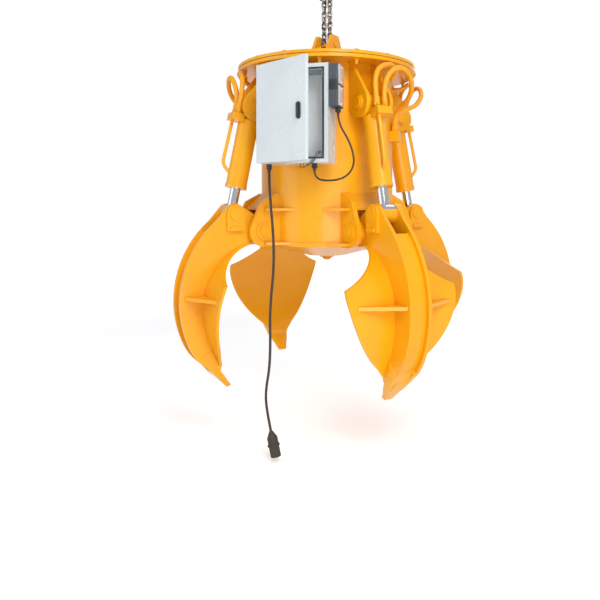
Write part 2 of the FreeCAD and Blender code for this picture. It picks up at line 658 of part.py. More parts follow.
# --- lifting lugs on the cover ---------------------------------------------------------------------
lug_parts = []
lug_pin_half = "(lug_spacing / 2 + lug_plate / 2 + lug_pin_head_plate)"
for side in (1, -1):
    tag = "left" if side < 0 else "right"
    lug_parts.append(plate("lug_" + tag, "YZ", [
        ("lug_foot_half_width", "cover_up"),
        ("lug_foot_half_width", "cover_up + lug_plate"),
        ("lug_top_half_width + lug_shoulder_out", "lug_pin_up + lug_rise / 2"),
        ("lug_top_half_width", "lug_pin_up + lug_rise"),
        ("-lug_top_half_width", "lug_pin_up + lug_rise"),
        ("-lug_top_half_width - lug_shoulder_out", "lug_pin_up + lug_rise / 2"),
        ("-lug_foot_half_width", "cover_up + lug_plate"),
        ("-lug_foot_half_width", "cover_up"),
    ], "lug_plate", "%d * lug_spacing / 2" % side))
    outer = "%d * (lug_spacing / 2 + lug_plate / 2)" % side
    lug_parts.append(plate("lug_gusset_" + tag, "XZ", [
        (outer, "cover_up"),
        ("%s + %d * lug_gusset_reach" % (outer, side), "cover_up"),
        ("%s + %d * lug_gusset_reach" % (outer, side), "cover_up + lug_gusset_plate"),
        (outer, "cover_up + lug_gusset_height"),
    ], "lug_gusset_plate"))
lug_hole = primitive("Cylinder", "lug_hole", Radius="chain_pin_radius", Height="2 * lug_spacing")
lug_hole.Placement.Rotation = FreeCAD.Rotation(FreeCAD.Vector(0, 1, 0), 90)
bind(lug_hole, "Placement.Base.x", "-lug_spacing")
bind(lug_hole, "Placement.Base.z", "lug_pin_up")
lug_shank = primitive("Cylinder", "lug_shank", Radius="chain_pin_radius", Height="2 * " + lug_pin_half)
lug_shank.Placement.Rotation = FreeCAD.Rotation(FreeCAD.Vector(0, 1, 0), 90)
bind(lug_shank, "Placement.Base.x", "-" + lug_pin_half)
bind(lug_shank, "Placement.Base.z", "lug_pin_up")
lug_heads = []
for side in (1, -1):
    head = primitive("Cylinder", "lug_pin_head", Radius="lug_pin_head_radius", Height="lug_pin_head_plate")
    head.Placement.Rotation = FreeCAD.Rotation(FreeCAD.Vector(0, 1, 0), 90)
    bind(head, "Placement.Base.x", "-" + lug_pin_half if side < 0 else "%s - lug_pin_head_plate" % lug_pin_half)
    bind(head, "Placement.Base.z", "lug_pin_up")
    lug_heads.append(head)
lugs = gather("lugs_and_pin", cut("lug_plates", fuse("lug_welded", *lug_parts), lug_hole),
              fuse("lug_pin", lug_shank, *lug_heads))
keep(lugs, "lifting_lugs", turned(value("lug_azimuth")))

# --- cover, gasket, bolts, drum ---------------------------------------------------------------------
cover = turned_body("cover", [
    ("0", "cover_up"),
    ("0", "cover_up - cover_plate"),
    ("cover_radius", "cover_up - cover_plate"),
    ("cover_radius", "cover_up"),
])
keep(cover, "top_cover")
gasket = turned_body("gasket", [
    ("drum_radius - drum_wall", "flange_up"),
    ("gasket_radius", "flange_up"),
    ("gasket_radius", "flange_up + gasket_plate"),
    ("drum_radius - drum_wall", "flange_up + gasket_plate"),
])
keep(gasket, "cover_gasket")
drum = turned_body("drum", [
    ("drum_radius - drum_wall", "flange_up"),
    ("drum_radius - drum_wall", "drum_foot_up"),
    ("drum_ring_radius", "drum_foot_up"),
    ("drum_ring_radius", "drum_foot_up + drum_ring_height"),
    ("drum_radius", "drum_foot_up + drum_ring_height"),
    ("drum_radius", "flange_up - flange_plate"),
    ("cover_radius", "flange_up - flange_plate"),
    ("cover_radius", "flange_up"),
])
keep(drum, "drum_shell")


def hexagon(name, radius, height, up, x=0, y=0):
    """A six-sided prism along Z that starts at a level."""
    obj = doc.addObject("Part::Prism", name)
    obj.Polygon = 6
    bind(obj, "Circumradius", radius)
    bind(obj, "Height", height)
    bind(obj, "Placement.Base.x", x)
    bind(obj, "Placement.Base.y", y)
    bind(obj, "Placement.Base.z", up)
    return obj


bolts = []
for number in range(int(value("bolt_count"))):
    spread = "%g * 360 / bolt_count" % (number + 0.5)
    x = "bolt_circle_radius * cos(%s)" % spread
    y = "bolt_circle_radius * sin(%s)" % spread
    under = "flange_up - flange_plate"
    bolts.append(hexagon("bolt_head", "bolt_head_radius", "bolt_head_height", "cover_up", x, y))
    nut = hexagon("bolt_nut", "bolt_head_radius", "bolt_nut_height", under + " - bolt_nut_height", x, y)
    stud = disc("bolt_stud", "bolt_shank_radius", "bolt_stud_rest + bolt_nut_height / 2",
                under + " - bolt_nut_height - bolt_stud_rest", x, y)
    bolts.append(fuse("bolt_foot", nut, stud))
keep(gather("bolts", *bolts), "flange_bolts")

cone_flat = "drum_foot_up - cone_drop"
cone = turned_body("cone", [
    ("0", cone_flat + " - drain_boss_height / 2"),
    ("drain_plug_radius", cone_flat + " - drain_boss_height / 2"),
    ("drain_plug_radius", cone_flat + " - drain_boss_height"),
    ("drain_boss_radius", cone_flat + " - drain_boss_height"),
    ("drain_boss_radius", cone_flat),
    ("cone_foot_radius", cone_flat),
    ("drum_radius - drum_wall / 2", "drum_foot_up"),
    ("drum_radius - drum_wall - cone_wall", "drum_foot_up"),
    ("cone_foot_radius - cone_wall / 2", cone_flat + " + cone_wall"),
    ("0", cone_flat + " + cone_wall"),
])
keep(cone, "bottom_cone")
plug_top = cone_flat + " - drain_boss_height / 2"
plug = turned_body("plug", [
    ("0", plug_top),
    ("0", plug_top + " - drain_plug_height + drain_plug_height / 3"),
    ("drain_plug_radius / 2", plug_top + " - drain_plug_height"),
    ("drain_plug_radius", plug_top + " - drain_plug_height * 2 / 3"),
    ("drain_plug_radius", plug_top),
])
keep(plug, "drain_plug")

# electric motor hung under the cover, with the pump below it
motor = turned_body("motor", [
    ("0", "cover_up - cover_plate"),
    ("0", "cover_up - cover_plate - motor_height - pump_height"),
    ("pump_radius", "cover_up - cover_plate - motor_height - pump_height"),
    ("pump_radius", "cover_up - cover_plate - motor_height"),
    ("motor_radius", "cover_up - cover_plate - motor_height"),
    ("motor_radius", "cover_up - cover_plate"),
])
keep(motor, "power_pack")

# --- brackets on the drum ----------------------------------------------------------------------------


def tangent_pair(a, radius_a, b, radius_b, side):
    """The points where an outer tangent touches two circles. side 1 is left of the way from a to b."""
    away = math.degrees(math.atan2(b[1] - a[1], b[0] - a[0]))
    gap = math.hypot(b[0] - a[0], b[1] - a[1])
    spread = math.degrees(math.acos((radius_a - radius_b) / gap))
    return polar(radius_a, away + side * spread, a), polar(radius_b, away + side * spread, b)


def top_bracket(corner, azimuth):
    """Two cheeks with bosses that carry a cylinder's top pin."""
    pin = (value("cylinder_pin_reach"), value("cylinder_pin_up"))
    radius = value("top_cheek_radius")
    inside = value("drum_radius - 2 * drum_wall")
    under = value("flange_up - flange_plate")
    shoulder = (value("drum_radius + top_cheek_shoulder"), under)
    foot = (value("drum_radius"), pin[1] - value("top_cheek_foot_drop"))
    high = tangent_point(pin, radius, shoulder, -1)
    low = tangent_point(pin, radius, foot, 1)
    outer = (pin[0] + radius, pin[1])
    slope = (low[1] - foot[1]) / (low[0] - foot[0])
    heel = (inside, foot[1] - slope * (foot[0] - inside))
    outline = [heel, low, outer + (radius,), high + (radius,), shoulder, (inside, under)]
    inner = "(barrel_eye_width / 2 + running_gap)"
    shapes = []
    for side in (1, -1):
        middle = "%d * (%s + top_cheek_plate / 2)" % (side, inner)
        shapes.append(plate("top_cheek_" + corner, "XZ", outline, "top_cheek_plate", middle))
    boss_half = inner + " + top_cheek_plate + top_boss_plate"
    boss = shaft("top_boss_" + corner, "top_boss_radius", boss_half, "cylinder_pin_reach", "cylinder_pin_up")
    gap = block("top_gap_" + corner, ("0", "-" + inner, "drum_foot_up"),
                ("2 * cover_radius", inner, "flange_up"))
    bosses = cut("top_bosses_" + corner, boss, gap)
    bore = shaft("top_bore_" + corner, "cylinder_pin_radius", "2 * (%s)" % boss_half, "cylinder_pin_reach",
                 "cylinder_pin_up")
    drum_space = disc("top_space_" + corner, "drum_radius", "drum_height", "drum_foot_up")
    bracket = cut("top_bracket_" + corner, fuse("top_welded_" + corner, bosses, *shapes), bore, drum_space)
    bracket.Placement = turned(azimuth)
    pin_half = boss_half + " + pin_head_plate"
    core = shaft("top_pin_core_" + corner, "cylinder_pin_radius", pin_half, "cylinder_pin_reach",
                 "cylinder_pin_up")
    pin_set = gather("top_pin_" + corner, core)
    pin_set.Placement = turned(azimuth)
    return bracket, pin_set


def low_bracket(corner, azimuth):
    """Two cheeks and a web that carry a jaw's hinge pin."""
    pin = (value("hinge_pin_reach"), value("hinge_pin_up"))
    radius = value("low_cheek_radius")
    inside = value("drum_radius - 2 * drum_wall")
    top = pin[1] + value("low_cheek_top_rise")
    knee = (pin[0] + value("low_cheek_knee_reach"), pin[1] + value("low_cheek_knee_rise"))
    high = tangent_point(pin, radius, knee, -1)
    outline = [
        (inside, pin[1] - radius),
        (pin[0], pin[1] - radius),
        (pin[0] + radius, pin[1], radius),
        high + (radius,),
        knee,
        (value("drum_radius"), top),
        (inside, top),
    ]
    inner = "(hinge_eye_width / 2 + running_gap)"
    shapes = []
    for side in (1, -1):
        middle = "%d * (%s + low_cheek_plate / 2)" % (side, inner)
        shapes.append(plate("low_cheek_" + corner, "XZ", outline, "low_cheek_plate", middle))
    boss_half = inner + " + low_cheek_plate + low_boss_plate"
    boss = shaft("low_boss_" + corner, "low_boss_radius", boss_half, "hinge_pin_reach", "hinge_pin_up")
    gap = block("low_gap_" + corner, ("0", "-" + inner, "hinge_pin_up - 2 * low_cheek_radius"),
                ("2 * cover_radius", inner, "hinge_pin_up + low_cheek_radius"))
    web = plate("low_web_" + corner, "XZ", [
        ("drum_radius - drum_wall / 2", "hinge_pin_up + web_top_rise"),
        ("drum_radius - drum_wall / 2", "hinge_pin_up + web_top_rise - web_plate"),
        ("hinge_pin_reach + web_low_reach - web_plate", "hinge_pin_up + web_low_rise"),
        ("hinge_pin_reach + web_low_reach", "hinge_pin_up + web_low_rise"),
        ("hinge_pin_reach + web_low_reach", "hinge_pin_up + web_low_rise + web_plate"),
    ], "2 * " + inner)
    shelves = []
    cheek_out = "(%s + low_cheek_plate)" % inner
    for hand in (1, -1):
        outline = [
            (inside, "%d * %s" % (hand, cheek_out)),
            ("hinge_pin_reach + shelf_reach", "%d * %s" % (hand, cheek_out)),
            ("hinge_pin_reach + shelf_reach", "%d * (%s + shelf_square)" % (hand, cheek_out)),
            ("sqrt(drum_radius ^ 2 - (%s + shelf_length) ^ 2)" % cheek_out,
             "%d * (%s + shelf_length)" % (hand, cheek_out)),
            ("sqrt(drum_radius ^ 2 - (%s + shelf_length) ^ 2) - drum_wall" % cheek_out,
             "%d * (%s + shelf_length)" % (hand, cheek_out)),
        ]
        shelves.append(plate("high_shelf_" + corner, "XY", outline, "shelf_plate", "hinge_pin_up + shelf_rise"))
        shelves.append(plate("low_shelf_" + corner, "XY", outline, "shelf_plate", "hinge_pin_up - shelf_drop"))
    bore = shaft("low_bore_" + corner, "hinge_pin_radius", "2 * (%s)" % boss_half, "hinge_pin_reach", "hinge_pin_up")
    drum_space = disc("low_space_" + corner, "drum_radius", "drum_height", "drum_foot_up - drum_ring_height")
    ring_space = disc("low_ring_" + corner, "drum_ring_radius", "2 * drum_ring_height",
                      "drum_foot_up - drum_ring_height")
    welded = fuse("low_welded_" + corner, cut("low_bosses_" + corner, boss, gap), web, *shapes, *shelves)
    bracket = cut("low_bracket_" + corner, welded, bore, drum_space, ring_space)
    bracket.Placement = turned(azimuth)
    core = shaft("low_pin_core_" + corner, "hinge_pin_radius", boss_half + " + pin_head_plate",
                 "hinge_pin_reach", "hinge_pin_up")
    pin_set = gather("low_pin_" + corner, core)
    pin_set.Placement = turned(azimuth)
    return bracket, pin_set


top_brackets = []
low_brackets = []
pins = []
for corner, azimuth in CORNERS.items():
    bracket, core = top_bracket(corner, azimuth)
    top_brackets.append(bracket)
    pins.append(core)
    bracket, core = low_bracket(corner, azimuth)
    low_brackets.append(bracket)
    pins.append(core)
keep(gather("top_bracket_set", *top_brackets), "upper_brackets")
keep(gather("low_bracket_set", *low_brackets), "lower_brackets")
keep(gather("bracket_pin_set", *pins), "bracket_pins")

# --- jaws -------------------------------------------------------------------------------------------
HINGE = (0, 0)
ROD_PIN = (value("rod_pin_out"), value("rod_pin_up"))
RIB_CENTRE = (value("rib_arc_centre_out"), value("rib_arc_centre_up"))
RIB_RADIUS = value("rib_arc_radius")
NOSE_RADIUS = value("nose_arc_radius")
NOSE_CENTRE = polar(RIB_RADIUS - NOSE_RADIUS, value("rib_arc_end"), RIB_CENTRE)
CROWN_UP = value("crown_up")
TOP_CENTRE = (value("crown_out - shell_top_radius"), CROWN_UP)
LOW_CENTRE = (value("crown_out - shell_low_radius"), CROWN_UP)
FOOT_UP = value("shell_foot_up")


def shell_line(inset):
    """The shell's side view at a depth below its outer surface: crown, low bend and foot."""
    radius = value("shell_low_radius") - inset
    bend = math.degrees(math.asin((value("shell_arc_end_up") - CROWN_UP) / value("shell_low_radius")))
    low = polar(radius, bend, LOW_CENTRE)
    foot_out = low[0] - (low[1] - FOOT_UP) * math.tan(math.radians(-bend))
    return (value("crown_out") - inset, CROWN_UP), low, (foot_out, FOOT_UP)


def shell_top(inset):
    return polar(value("shell_top_radius") - inset, value("shell_top_angle"), TOP_CENTRE)


def jaw(corner, azimuth):
    """One jaw: shell, spine with two ribs, and tooth."""
    place = turned(azimuth, "hinge_pin_reach", "hinge_pin_up")
    wall = value("shell_plate")
    crown, low, foot = shell_line(0)
    crown_in, low_in, foot_in = shell_line(wall)
    top_radius = value("shell_top_radius")
    low_radius = value("shell_low_radius")
    rolled = plate("shell_rolled_" + corner, "XZ", [
        foot,
        low,
        crown + (low_radius,),
        shell_top(0) + (top_radius,),
        shell_top(wall),
        crown_in + (-(top_radius - wall),),
        low_in + (-(low_radius - wall),),
        foot_in,
    ], "2 * wing_half_width + shell_plate")
    neck = "shell_neck_half_width"
    low_y = "(shell_neck_half_width + neck_flare_out)"
    outline = plate("shell_front_" + corner, "YZ", [
        (neck, "shell_foot_up"),
        (low_y, "shell_foot_up + neck_flare_rise"),
        ("wing_half_width", "wing_corner_up - wing_corner_height", "wing_low_radius"),
        ("wing_half_width", "wing_corner_up"),
        (neck, "shell_top_up", "-wing_top_radius"),
        (neck, "0"),
        ("-" + neck, "0"),
        ("-" + neck, "shell_top_up"),
        ("-wing_half_width", "wing_corner_up", "-wing_top_radius"),
        ("-wing_half_width", "wing_corner_up - wing_corner_height"),
        ("-" + low_y, "shell_foot_up + neck_flare_rise", "wing_low_radius"),
        ("-" + neck, "shell_foot_up"),
    ], "4 * wing_half_width")
    eye_space = shaft("shell_eye_space_" + corner, "hinge_eye_radius", "wing_half_width")
    shell = cut("shell_" + corner, common("shell_cut_" + corner, rolled, outline), eye_space)
    keep(shell, "jaw_shell_" + corner, place)

    eye_radius = value("hinge_eye_radius")
    end_radius = value("arm_end_radius")
    top_a, top_b = tangent_pair(HINGE, eye_radius, ROD_PIN, end_radius, 1)
    start = polar(RIB_RADIUS, value("rib_arc_start"), RIB_CENTRE)
    side = tangent_point(ROD_PIN, end_radius, start, 1)
    nose = polar(RIB_RADIUS, value("rib_arc_end"), RIB_CENTRE)
    tip = polar(NOSE_RADIUS, value("nose_arc_end"), NOSE_CENTRE)
    root_up = value("tooth_root_up")
    heel = (low[0] + (foot[0] - low[0]) * (low[1] - root_up) / (low[1] - foot[1]), root_up)
    outline = [
        heel,
        tip,
        nose + (NOSE_RADIUS,),
        start + (RIB_RADIUS,),
        side,
        top_b + (end_radius,),
        top_a,
        HINGE,
        shell_top(0),
        crown + (-top_radius,),
        low + (-low_radius,),
    ]
    shapes = []
    for hand in (1, -1):
        middle = "%d * (rib_half_spacing - rib_plate / 2)" % hand
        shapes.append(plate("rib_" + corner, "XZ", outline, "rib_plate", middle))
        tomb = plate("doubler_" + corner, "XZ", [
            ("rod_pin_out - doubler_half_width", "rod_pin_up - doubler_drop"),
            ("rod_pin_out + doubler_half_width", "rod_pin_up - doubler_drop"),
            ("rod_pin_out + doubler_half_width", "rod_pin_up"),
            ("rod_pin_out", "rod_pin_up + doubler_half_width", "doubler_half_width"),
            ("rod_pin_out - doubler_half_width", "rod_pin_up", "doubler_half_width"),
        ], "doubler_plate", "%d * (rib_half_spacing + doubler_plate / 2)" % hand)
        shapes.append(tomb)
    tube_half = "(hinge_eye_width / 2)"
    hinge_tube = shaft("hinge_tube_" + corner, "hinge_eye_radius", tube_half)
    strip_in = value("strip_recess + strip_plate")
    recess = value("strip_recess")
    strip = plate("strip_" + corner, "XZ", [
        polar(RIB_RADIUS - recess, value("strip_start"), RIB_CENTRE) + (RIB_RADIUS - recess,),
        polar(RIB_RADIUS - strip_in, value("strip_start"), RIB_CENTRE),
        polar(RIB_RADIUS - strip_in, value("rib_arc_end"), RIB_CENTRE) + (-(RIB_RADIUS - strip_in),),
        polar(NOSE_RADIUS - strip_in, value("nose_arc_end"), NOSE_CENTRE) + (-(NOSE_RADIUS - strip_in),),
        polar(NOSE_RADIUS - recess, value("nose_arc_end"), NOSE_CENTRE),
        polar(RIB_RADIUS - recess, value("rib_arc_end"), RIB_CENTRE) + (NOSE_RADIUS - recess,),
    ], "2 * (rib_half_spacing - rib_plate)")
    core = plate("shell_core_" + corner, "XZ", [
        foot,
        low,
        crown + (low_radius,),
        shell_top(0) + (top_radius,),
    ], "4 * wing_half_width")
    inner_out = crown[0] - 2 * wall
    wings = []
    for hand in (1, -1):
        corners = [
            (inner_out, "%d * (rib_half_spacing - rib_plate / 2)" % hand),
            ("gusset_out", "%d * (rib_half_spacing - rib_plate / 2)" % hand),
            ("gusset_out", "%d * rib_half_spacing" % hand),
            (crown[0], "%d * gusset_half_width" % hand),
            (inner_out, "%d * gusset_half_width" % hand),
        ]
        wings.append(plate("wing_gusset_" + corner, "XY", corners, "gusset_plate", "gusset_up"))
    gussets = cut("wing_gussets_" + corner, fuse("wing_gusset_pair_" + corner, *wings), core)
    hinge_bore = shaft("hinge_bore_" + corner, "hinge_pin_radius + pin_clearance", "hinge_eye_width")
    pin_bore = shaft("pin_bore_" + corner, "rod_pin_radius", "hinge_eye_width", "rod_pin_out", "rod_pin_up")
    welded = fuse("spine_welded_" + corner, hinge_tube, strip, gussets, *shapes)
    keep(cut("spine_" + corner, welded, hinge_bore, pin_bore), "jaw_spine_" + corner, place)

    back = polar(NOSE_RADIUS, value("tooth_back_end"), NOSE_CENTRE)
    tooth_side = plate("tooth_side_" + corner, "XZ", [
        heel,
        foot,
        foot_in,
        ("tooth_face_out", "tooth_face_up"),
        ("tooth_tip_out - tooth_tip_thickness", "tooth_tip_up + tooth_tip_thickness / 2"),
        ("tooth_tip_out", "tooth_tip_up"),
        back,
        tip + (NOSE_RADIUS,),
    ], "2 * tooth_half_width")
    tooth_front = plate("tooth_front_" + corner, "YZ", [
        ("tooth_half_width", "tooth_root_up + tooth_tip_margin"),
        ("-tooth_half_width", "tooth_root_up + tooth_tip_margin"),
        ("-tooth_half_width", "tooth_root_up - tooth_root_band"),
        ("-tooth_knee_half_width", "tooth_tip_up + tooth_knee_rise", "tooth_side_radius"),
        ("-tooth_tip_half_width", "tooth_tip_up - tooth_tip_margin"),
        ("tooth_tip_half_width", "tooth_tip_up - tooth_tip_margin"),
        ("tooth_knee_half_width", "tooth_tip_up + tooth_knee_rise"),
        ("tooth_half_width", "tooth_root_up - tooth_root_band", "tooth_side_radius"),
    ], "4 * wing_half_width")
    fade = value("tooth_recess_fade")
    tip_back = (value("tooth_tip_out"), value("tooth_tip_up"))
    fade_point = (back[0] + (tip_back[0] - back[0]) * fade, back[1] + (tip_back[1] - back[1]) * fade)
    groove = plate("tooth_groove_" + corner, "XZ", [
        polar(NOSE_RADIUS - recess, value("nose_arc_end"), NOSE_CENTRE),
        fade_point,
        polar(NOSE_RADIUS + recess, value("tooth_back_end"), NOSE_CENTRE),
        polar(NOSE_RADIUS + recess, value("nose_arc_end"), NOSE_CENTRE),
    ], "2 * tooth_recess_half_width")
    tooth = cut("tooth_" + corner, common("tooth_cast_" + corner, tooth_side, tooth_front), groove)
    keep(tooth, "jaw_tooth_" + corner, place)

    pin_side = "(rib_half_spacing + doubler_plate)"
    stack = [shaft("rod_pin_shank_" + corner, "rod_pin_radius", pin_side + " + pin_head_plate",
                   "rod_pin_out", "rod_pin_up")]
    for hand in (1, -1):
        low_y = pin_side if hand > 0 else "-%s - pin_head_plate" % pin_side
        head = primitive("Cylinder", "rod_pin_head_" + corner, Radius="pin_head_radius", Height="pin_head_plate")
        head.Placement.Rotation = FreeCAD.Rotation(FreeCAD.Vector(1, 0, 0), -90)
        bind(head, "Placement.Base.x", "rod_pin_out")
        bind(head, "Placement.Base.y", low_y)
        bind(head, "Placement.Base.z", "rod_pin_up")
        stack.append(head)
    keepers = []
    for hand in (1, -1):
        near = pin_side if hand > 0 else "-%s - keeper_plate" % pin_side
        far = pin_side + " + keeper_plate" if hand > 0 else "-" + pin_side
        keepers.append(block("keeper_" + corner,
                             ("rod_pin_out - keeper_length / 2", near, "rod_pin_up - doubler_drop + keeper_inset"),
                             ("rod_pin_out + keeper_length / 2", far,
                              "rod_pin_up - doubler_drop + keeper_inset + keeper_height")))
    keep(gather("rod_pin_set_" + corner, fuse("rod_pin_body_" + corner, *stack), *keepers),
         "rod_pin_" + corner, place)


def cylinder(corner, azimuth):
    """One hydraulic cylinder in the frame of its top pin: barrel, rod, port block with oil pipe."""
    lean = -math.degrees(math.atan2(value("barrel_dx"), value("barrel_dz")))
    length = "sqrt(barrel_dx ^ 2 + barrel_dz ^ 2)"
    place = turned(azimuth, "cylinder_pin_reach", "cylinder_pin_up", lean)
    tube_body = doc.addObject("PartDesign::Body", "tube_" + corner)
    profile = body_sketch(tube_body, "XZ_Plane", "tube_profile_" + corner, [
        ("0", "-barrel_top_drop + barrel_eye_radius"),
        ("0", "-barrel_top_drop - barrel_cap"),
        ("barrel_bore_radius", "-barrel_top_drop - barrel_cap"),
        ("barrel_bore_radius", "-barrel_foot_drop + gland_height"),
        ("rod_radius + pin_clearance", "-barrel_foot_drop + gland_height"),
        ("rod_radius + pin_clearance", "-barrel_foot_drop"),
        ("barrel_radius + gland_ring", "-barrel_foot_drop"),
        ("barrel_radius + gland_ring", "-barrel_foot_drop + gland_height * 2 / 3"),
        ("barrel_radius", "-barrel_foot_drop + gland_height * 2 / 3"),
        ("barrel_radius", "-barrel_top_drop - head_ring_height"),
        ("barrel_radius + gland_ring", "-barrel_top_drop - head_ring_height"),
        ("barrel_radius + gland_ring", "-barrel_top_drop"),
        ("barrel_neck_radius", "-barrel_top_drop"),
        ("barrel_neck_radius", "-barrel_top_drop + barrel_eye_radius"),
    ])
    turn = tube_body.newObject("PartDesign::Revolution", "tube_turned_" + corner)
    turn.Profile = profile
    turn.ReferenceAxis = (profile, ["V_Axis"])
    turn.Angle = 360
    eye = shaft("barrel_eye_" + corner, "barrel_eye_radius", "barrel_eye_width / 2")
    bore = shaft("barrel_bore_" + corner, "cylinder_pin_radius + pin_clearance", "barrel_eye_width")
    keep(cut("barrel_all_" + corner, fuse("barrel_welded_" + corner, tube_body, eye), bore),
         "barrel_" + corner, place)

    rod_foot = "(%s)" % length
    rod_core = disc("rod_core_" + corner, "rod_radius", rod_foot + " - piston_drop - piston_height / 2",
                    "-%s" % rod_foot)
    piston = disc("piston_" + corner, "barrel_bore_radius - piston_clearance", "piston_height",
                  "-piston_drop - piston_height / 2")
    eye_half = "(rib_half_spacing - rib_plate - running_gap)"
    rod_eye = shaft("rod_eye_" + corner, "rod_eye_radius", eye_half, 0, "-" + rod_foot)
    rod_bore = shaft("rod_bore_" + corner, "rod_pin_radius + rod_eye_slack", "2 * " + eye_half, 0, "-" + rod_foot)
    keep(cut("rod_all_" + corner, fuse("rod_welded_" + corner, rod_core, piston, rod_eye), rod_bore),
         "rod_" + corner, place)

    top = "-port_block_top_drop"
    under = "(-port_block_top_drop - port_block_height)"
    core = block("port_core_" + corner, ("barrel_neck_radius", "-port_block_half_width", under),
                 ("port_block_reach", "port_block_half_width", top))
    pipe = tube("oil_pipe_" + corner, [
        (value("pipe_reach"), -value("port_pitch / 2"), value(under + " + pipe_root")),
        (value("pipe_reach + pipe_bow"), -value("port_pitch / 2 + pipe_bow / 2"), -value("pipe_bend_drop")),
        (value("barrel_radius - pipe_root"), -value("port_pitch / 4"), -value("pipe_end_drop")),
    ], "2 * pipe_radius")
    room = fuse("port_room_" + corner,
                disc("port_tube_" + corner, "barrel_radius", "barrel_foot_drop", "-barrel_foot_drop"),
                disc("port_ring_" + corner, "barrel_radius + gland_ring", "barrel_top_drop + head_ring_height",
                     "-barrel_top_drop - head_ring_height"))
    fittings = []
    for hand in (1, -1):
        fittings.append(disc("fitting_" + corner, "fitting_radius", "fitting_height + pipe_root",
                             top + " - pipe_root",
                             "port_reach", "%d * port_pitch / 2" % hand))
    keep(cut("port_all_" + corner, fuse("port_welded_" + corner, core, pipe, *fittings), room),
         "port_block_" + corner, place)
    return place


places = {}
for corner, azimuth in CORNERS.items():
    jaw(corner, azimuth)
    places[corner] = cylinder(corner, azimuth)

# --- hydraulic manifolds and hoses --------------------------------------------------------------------
manifolds = []
for side in (1, -1):
    low_x = "drum_radius - drum_wall / 2" if side > 0 else "-manifold_reach"
    high_x = "manifold_reach" if side > 0 else "-drum_radius + drum_wall / 2"
    manifolds.append(block("manifold",
                           (low_x, "-manifold_width / 2", "cover_up - manifold_drop - manifold_height / 2"),
                           (high_x, "manifold_width / 2", "cover_up - manifold_drop + manifold_height / 2")))
manifold_room = disc("manifold_room", "drum_radius", "drum_height - flange_plate", "drum_foot_up")
keep(cut("manifold_set", gather("manifold_pair", *manifolds), manifold_room), "hose_manifold")

# a hose rises from the port, bends over outside the cylinder and comes down to the manifold
manifold_top = value("cover_up - manifold_drop + manifold_height / 2")
manifold_x = value("manifold_reach - hose_diameter")
manifold_y = value("manifold_width / 4")
hose_unit = value("hose_diameter")
HOSE_STEPS = [
    (0, 0, 2.2),
    (0.3, -0.5, 5.2),
    (1.9, -2.1, 7.3),
    (3.6, -4.3, 6.9),
    (4.3, -6.6, 4.7),
    (3.4, -8.8, 2.4),
    (1.86, -10.7, 1.5),
    (0.4, -12.35, 0.4),
]
for corner, azimuth in CORNERS.items():
    east = 1 if corner in ("rf", "rb") else -1
    north = 1 if corner in ("rb", "lb") else -1
    hand = -east * north
    fitting = vector("port_reach", "%d * port_pitch / 2" % hand,
                     "fitting_height - port_block_top_drop + hose_swing_gap")
    mouth = places[corner].multVec(fitting)
    straight = places[corner].multVec(fitting + FreeCAD.Vector(0, 0, HOSE_STEPS[0][2] * hose_unit))
    points = [(abs(mouth.x), abs(mouth.y), mouth.z), (abs(straight.x), abs(straight.y), straight.z)]
    for dx, dy, dz in HOSE_STEPS[1:]:
        points.append((abs(mouth.x) + dx * hose_unit, abs(mouth.y) + dy * hose_unit, mouth.z + dz * hose_unit))
    points.append((manifold_x, manifold_y, manifold_top + 2.15 * hose_unit))
    points.append((manifold_x, manifold_y, manifold_top))
    run = [(east * p[0], north * p[1], p[2]) for p in points]
    keep(tube("hose_run_" + corner, run, "hose_diameter", 8), "hose_" + corner)

# --- control box ----------------------------------------------------------------------------------------
outer = block("box_outer", ("box_left", "-box_front", "box_foot_up"), ("box_right", "-box_back", "box_top_up"))
room = block("box_room", ("box_left + box_sheet", "-box_front + box_sheet", "box_foot_up + box_sheet"),
             ("box_right - box_sheet", "-box_back - box_sheet", "box_top_up - box_sheet"))
mouth = block("box_mouth", ("box_left + box_lip", "-box_front - box_sheet", "box_foot_up + box_lip"),
              ("box_right - box_lip", "-box_front + 2 * box_sheet", "box_top_up - box_lip"))
keep(cut("box_body", outer, room, mouth), "control_box")

rails = []
for side in (1, -1):
    middle = "-box_shift + %d * rail_offset" % side
    rail = block("box_rail", (middle + " - rail_width / 2", "-box_back", "box_foot_up + rail_inset"),
                 (middle + " + rail_width / 2", "-drum_radius / 2", "box_top_up - rail_inset"))
    rails.append(rail)
rail_room = disc("rail_room", "drum_radius", "drum_height", "drum_foot_up")
keep(cut("rail_set", gather("rail_pair", *rails), rail_room), "box_mounts")

studs = []
for sx in (1, -1):
    for upper in (True, False):
        z = "box_foot_up + mounting_plate_inset + standoff_inset"
        if upper:
            z = "box_top_up - mounting_plate_inset - standoff_inset"
        stud = primitive("Cylinder", "stud", Radius="standoff_radius", Height="mounting_plate_standoff - box_sheet")
        stud.Placement.Rotation = FreeCAD.Rotation(FreeCAD.Vector(1, 0, 0), 90)
        bind(stud, "Placement.Base.x",
             "-box_shift + %d * (box_width / 2 - mounting_plate_inset - standoff_inset)" % sx)
        bind(stud, "Placement.Base.y", "-box_back - box_sheet")
        bind(stud, "Placement.Base.z", z)
        studs.append(stud)
panel = block("panel", ("box_left + mounting_plate_inset",
                        "-box_back - mounting_plate_standoff - mounting_plate_sheet",
                        "box_foot_up + mounting_plate_inset"),
              ("box_right - mounting_plate_inset", "-box_back - mounting_plate_standoff",
               "box_top_up - mounting_plate_inset"))
keep(fuse("mounting_panel", panel, *studs), "mounting_plate")

